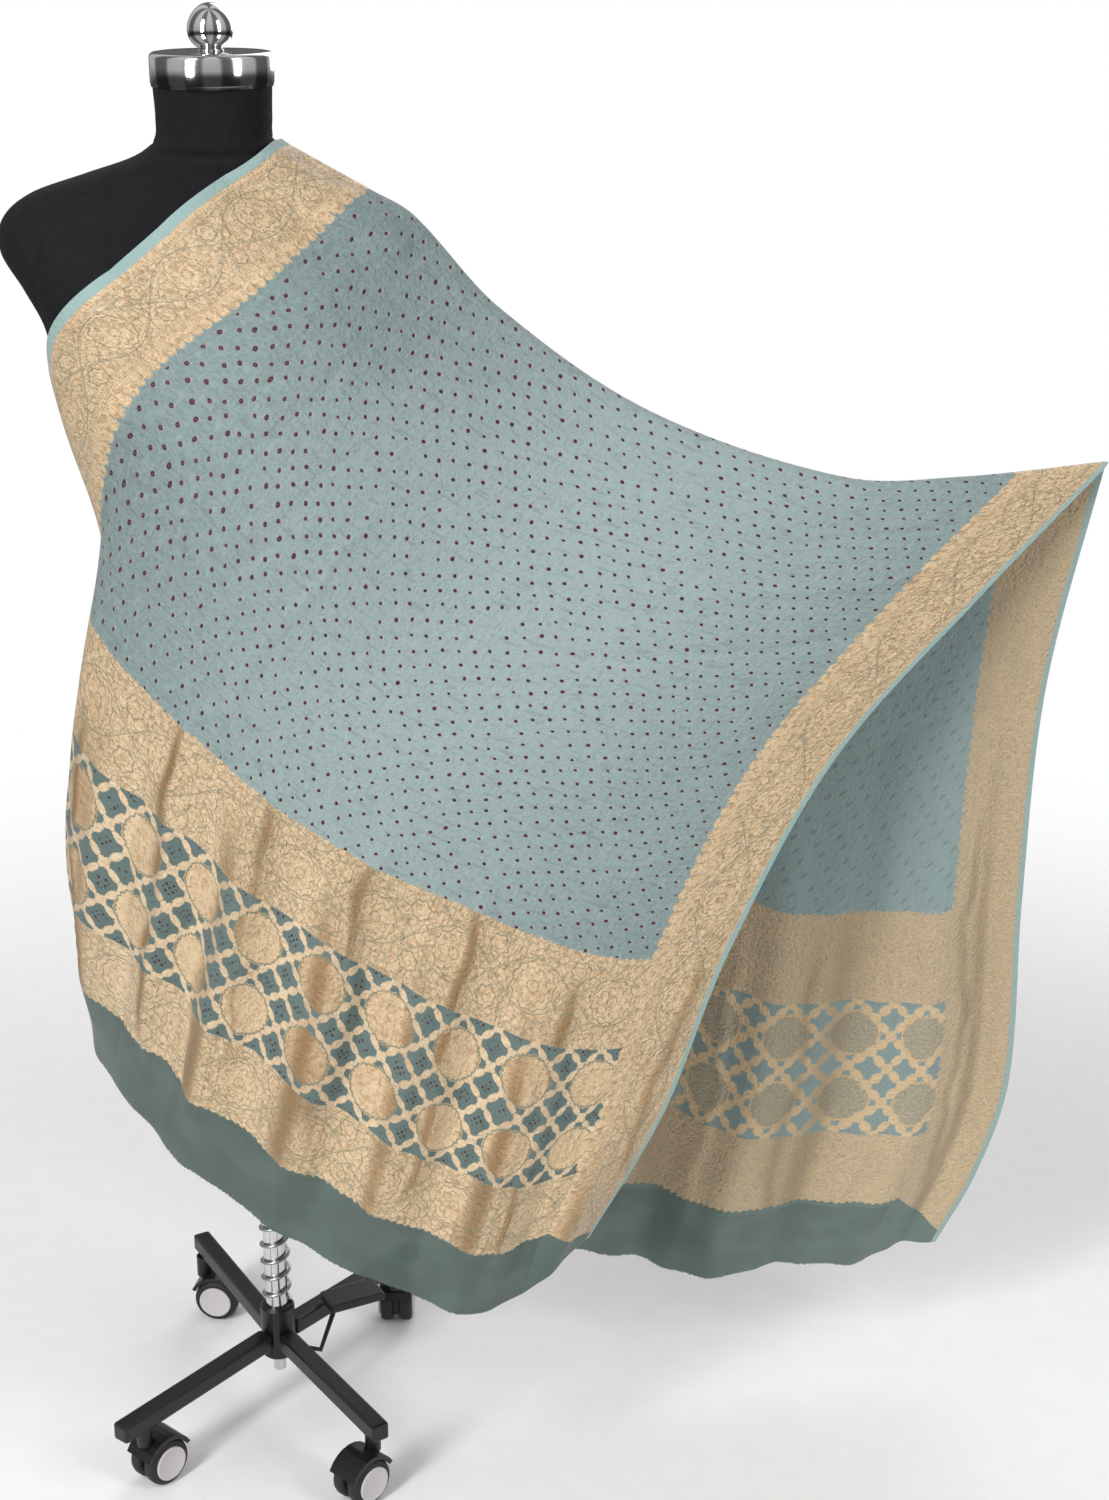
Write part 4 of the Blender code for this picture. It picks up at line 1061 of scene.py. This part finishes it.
# The egg is fuller below its middle; its widest ring is this much wider than its middle one
EGG_FULLNESS = 0.12
EGG_WIDEST = 1.007
egg = [
    (0.5 * knob_size.x * math.sin(t) * (1.0 - EGG_FULLNESS * math.cos(t)) / EGG_WIDEST,
     knob_half * math.cos(t))
    for t in np.linspace(0.0, 0.89 * math.pi, 40)]
egg += [(0.0105, 0.0022 - knob_half), (0.0120, 0.0015 - knob_half), (0.0120, -knob_half), (0.0, -knob_half)]
lathe("cap_knob", egg, chrome, knob_middle)

pole_middle, pole_size = middle_of("pole")
pole_radius, pole_half = 0.5 * pole_size.x, 0.5 * pole_size.z
lathe("pole", [(0.0, pole_half), (pole_radius, pole_half), (pole_radius, -pole_half), (0.0, -pole_half)],
      chrome, pole_middle, sides=64)

spring_low, spring_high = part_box("pole_spring")
WIRE_RADIUS, COIL_RADIUS, COIL_TURNS = 0.0018, 0.0150, 5
coil_turn = np.linspace(0.0, COIL_TURNS * 2.0 * math.pi, COIL_TURNS * 40 + 1)
rise_z = (spring_high.z - spring_low.z - 2.0 * WIRE_RADIUS) / coil_turn[-1]
wire_turn = np.linspace(0.0, 2.0 * math.pi, 13)
outward = np.stack([np.cos(coil_turn), np.sin(coil_turn), 0.0 * coil_turn], axis=-1)
centres = outward * COIL_RADIUS + np.array([STAND_X, 0.0, spring_low.z + WIRE_RADIUS])
centres[:, 2] += rise_z * coil_turn
wire = centres[:, None, :] + WIRE_RADIUS * (
    np.cos(wire_turn)[None, :, None] * outward[:, None, :]
    + np.sin(wire_turn)[None, :, None] * np.array([0.0, 0.0, 1.0]))
wire_uvs = np.stack(np.meshgrid(wire_turn * WIRE_RADIUS, coil_turn * COIL_RADIUS), axis=-1)
spring = grid_object("spring_wire", wire, wire_uvs, spring_finish)
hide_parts("pole_spring")
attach(spring, "root")

# Which way each caster's axle points
AXLE_DEGREES = {"front_left": -41.0, "front_right": 138.0, "rear_left": -100.0, "rear_right": 0.0}
WHEEL_SIDES = 72
TREAD = [(0.0, 0.0075), (0.0205, 0.0075), (0.0228, 0.0072), (0.0250, 0.0058), (0.0260, 0.0030)]
TYRE = TREAD + [(radius, -out) for radius, out in reversed(TREAD)]
DISHED = [
    (0.0, 0.0008), (0.0165, 0.0008), (0.0172, 0.0011), (0.0184, 0.0011), (0.0190, 0.0005), (0.0190, -0.0011),
    (0.0, -0.0011)]
DISC_OUTLINES = {"outer": DISHED, "inner": [(radius, -out) for radius, out in reversed(DISHED)]}
for leg, degrees in AXLE_DEGREES.items():
    axle = (math.cos(math.radians(degrees)), math.sin(math.radians(degrees)), 0.0)
    for side in ("inner", "outer"):
        wheel_name = "wheel_%s_%s" % (leg, side)
        lathe(wheel_name, TYRE, rubber, middle_of(wheel_name)[0], axle, WHEEL_SIDES)
        disc_name = "disc_%s_%s" % (leg, side)
        lathe(disc_name, DISC_OUTLINES[side], pale, middle_of(disc_name)[0],
              axle, WHEEL_SIDES)

FINISHES = {
    "chrome": chrome, "spring_steel": spring_finish, "black_enamel": enamel,
    "black_rubber": rubber, "pale_plastic": pale}
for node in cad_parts.values():
    for slot in node.material_slots:
        if slot.material and slot.material.name in FINISHES:
            slot.material = FINISHES[slot.material.name]

# ---- floor, light and camera ----

FLOOR_RADIUS = 2.4
FLOOR_SIDES = 96
floor_mesh = bpy.data.meshes.new("floor")
rim_angles = [2.0 * math.pi * i / FLOOR_SIDES for i in range(FLOOR_SIDES)]
rim = [(FLOOR_RADIUS * math.cos(t), FLOOR_RADIUS * math.sin(t), 0.0) for t in rim_angles]
floor_mesh.from_pydata(rim, [], [tuple(range(FLOOR_SIDES))])
floor = bpy.data.objects.new("floor", floor_mesh)
bpy.context.scene.collection.objects.link(floor)


def floor_material():
    """Pale floor that fades into the white behind it."""
    m = Maker("floor_finish")
    place = Wire(m, m.node("ShaderNodeTexCoord").outputs["Object"])
    split = m.node("ShaderNodeSeparateXYZ")
    m.put(split.inputs[0], place)
    reach = m.reach(Wire(m, split.outputs[0]), Wire(m, split.outputs[1]))
    grain = m.noise(place, 30.0)
    return m.set(
        Base_Color=m.mix(grain, (0.88, 0.88, 0.88), (0.93, 0.93, 0.93)), Roughness=0.9,
        Alpha=m.rise(reach, 0.9, FLOOR_RADIUS - 0.1, 1.0, 0.0))


floor_mesh.materials.append(floor_material())

bpy.context.scene.view_settings.view_transform = "Standard"
world = bpy.data.worlds.new("studio")
bpy.context.scene.world = world
room = Maker("studio", world)
ways = room.node("ShaderNodeSeparateXYZ")
room.tree.links.new(room.node("ShaderNodeTexCoord").outputs["Generated"], ways.inputs[0])
way_x, way_y, way_z = [Wire(room, socket) for socket in ways.outputs]

# Soft upright panels of light all round, darker towards the ground; the camera itself sees white
turn = room.math("ARCTAN2", way_x, way_y * -1.0)
panels = room.rise(room.math("SINE", turn * 5.0 + 0.9), -0.25, 0.35)
low = room.rise(way_z, -0.20, 0.02)
light = room.rise(way_z, -0.1, 0.9, 0.50, 0.72)
light = light * (0.25 + panels * 0.75) * (0.12 + low * 0.88)
seen = Wire(room, room.node("ShaderNodeLightPath").outputs["Is Camera Ray"])
level = seen + light * (1.0 - seen)
background = world.node_tree.nodes["Background"]
background.inputs["Color"].default_value = (1.0, 1.0, 1.0, 1.0)
room.put(background.inputs["Strength"], level)


LIGHT_HEIGHT = 2.8


def area_light(name, place, target, width, watts):
    data = bpy.data.lights.new(name, "AREA")
    data.shape = "RECTANGLE"
    data.size = width
    data.size_y = LIGHT_HEIGHT
    data.energy = watts
    item = bpy.data.objects.new(name, data)
    item.location = place
    item.rotation_euler = (Vector(target) - Vector(place)).to_track_quat("-Z", "Y").to_euler()
    bpy.context.scene.collection.objects.link(item)


area_light("key_light", (-1.9, -2.5, 2.2), (0.0, 0.0, 0.8), 0.7, 100.0)
area_light("fill_light", (2.4, -1.8, 2.2), (0.0, 0.0, 0.8), 0.8, 40.0)
area_light("back_light", (0.6, 2.6, 2.4), (0.0, 0.0, 0.9), 2.0, 30.0)

# Where the photograph was taken from, as fitted to the pole and the casters
CAMERA_PLACE = (0.318, -2.30, 1.62)
CAMERA_TIP = 20.0

camera_data = bpy.data.cameras.new("camera")
camera_data.sensor_width = 36.0
camera_data.lens = 57.36
camera_data.clip_end = 50.0
camera = bpy.data.objects.new("camera", camera_data)
camera.location = AXIS + CAMERA_PLACE
camera.rotation_euler = (math.radians(90.0 - CAMERA_TIP), 0.0, 0.0)
bpy.context.scene.collection.objects.link(camera)
bpy.context.scene.camera = camera
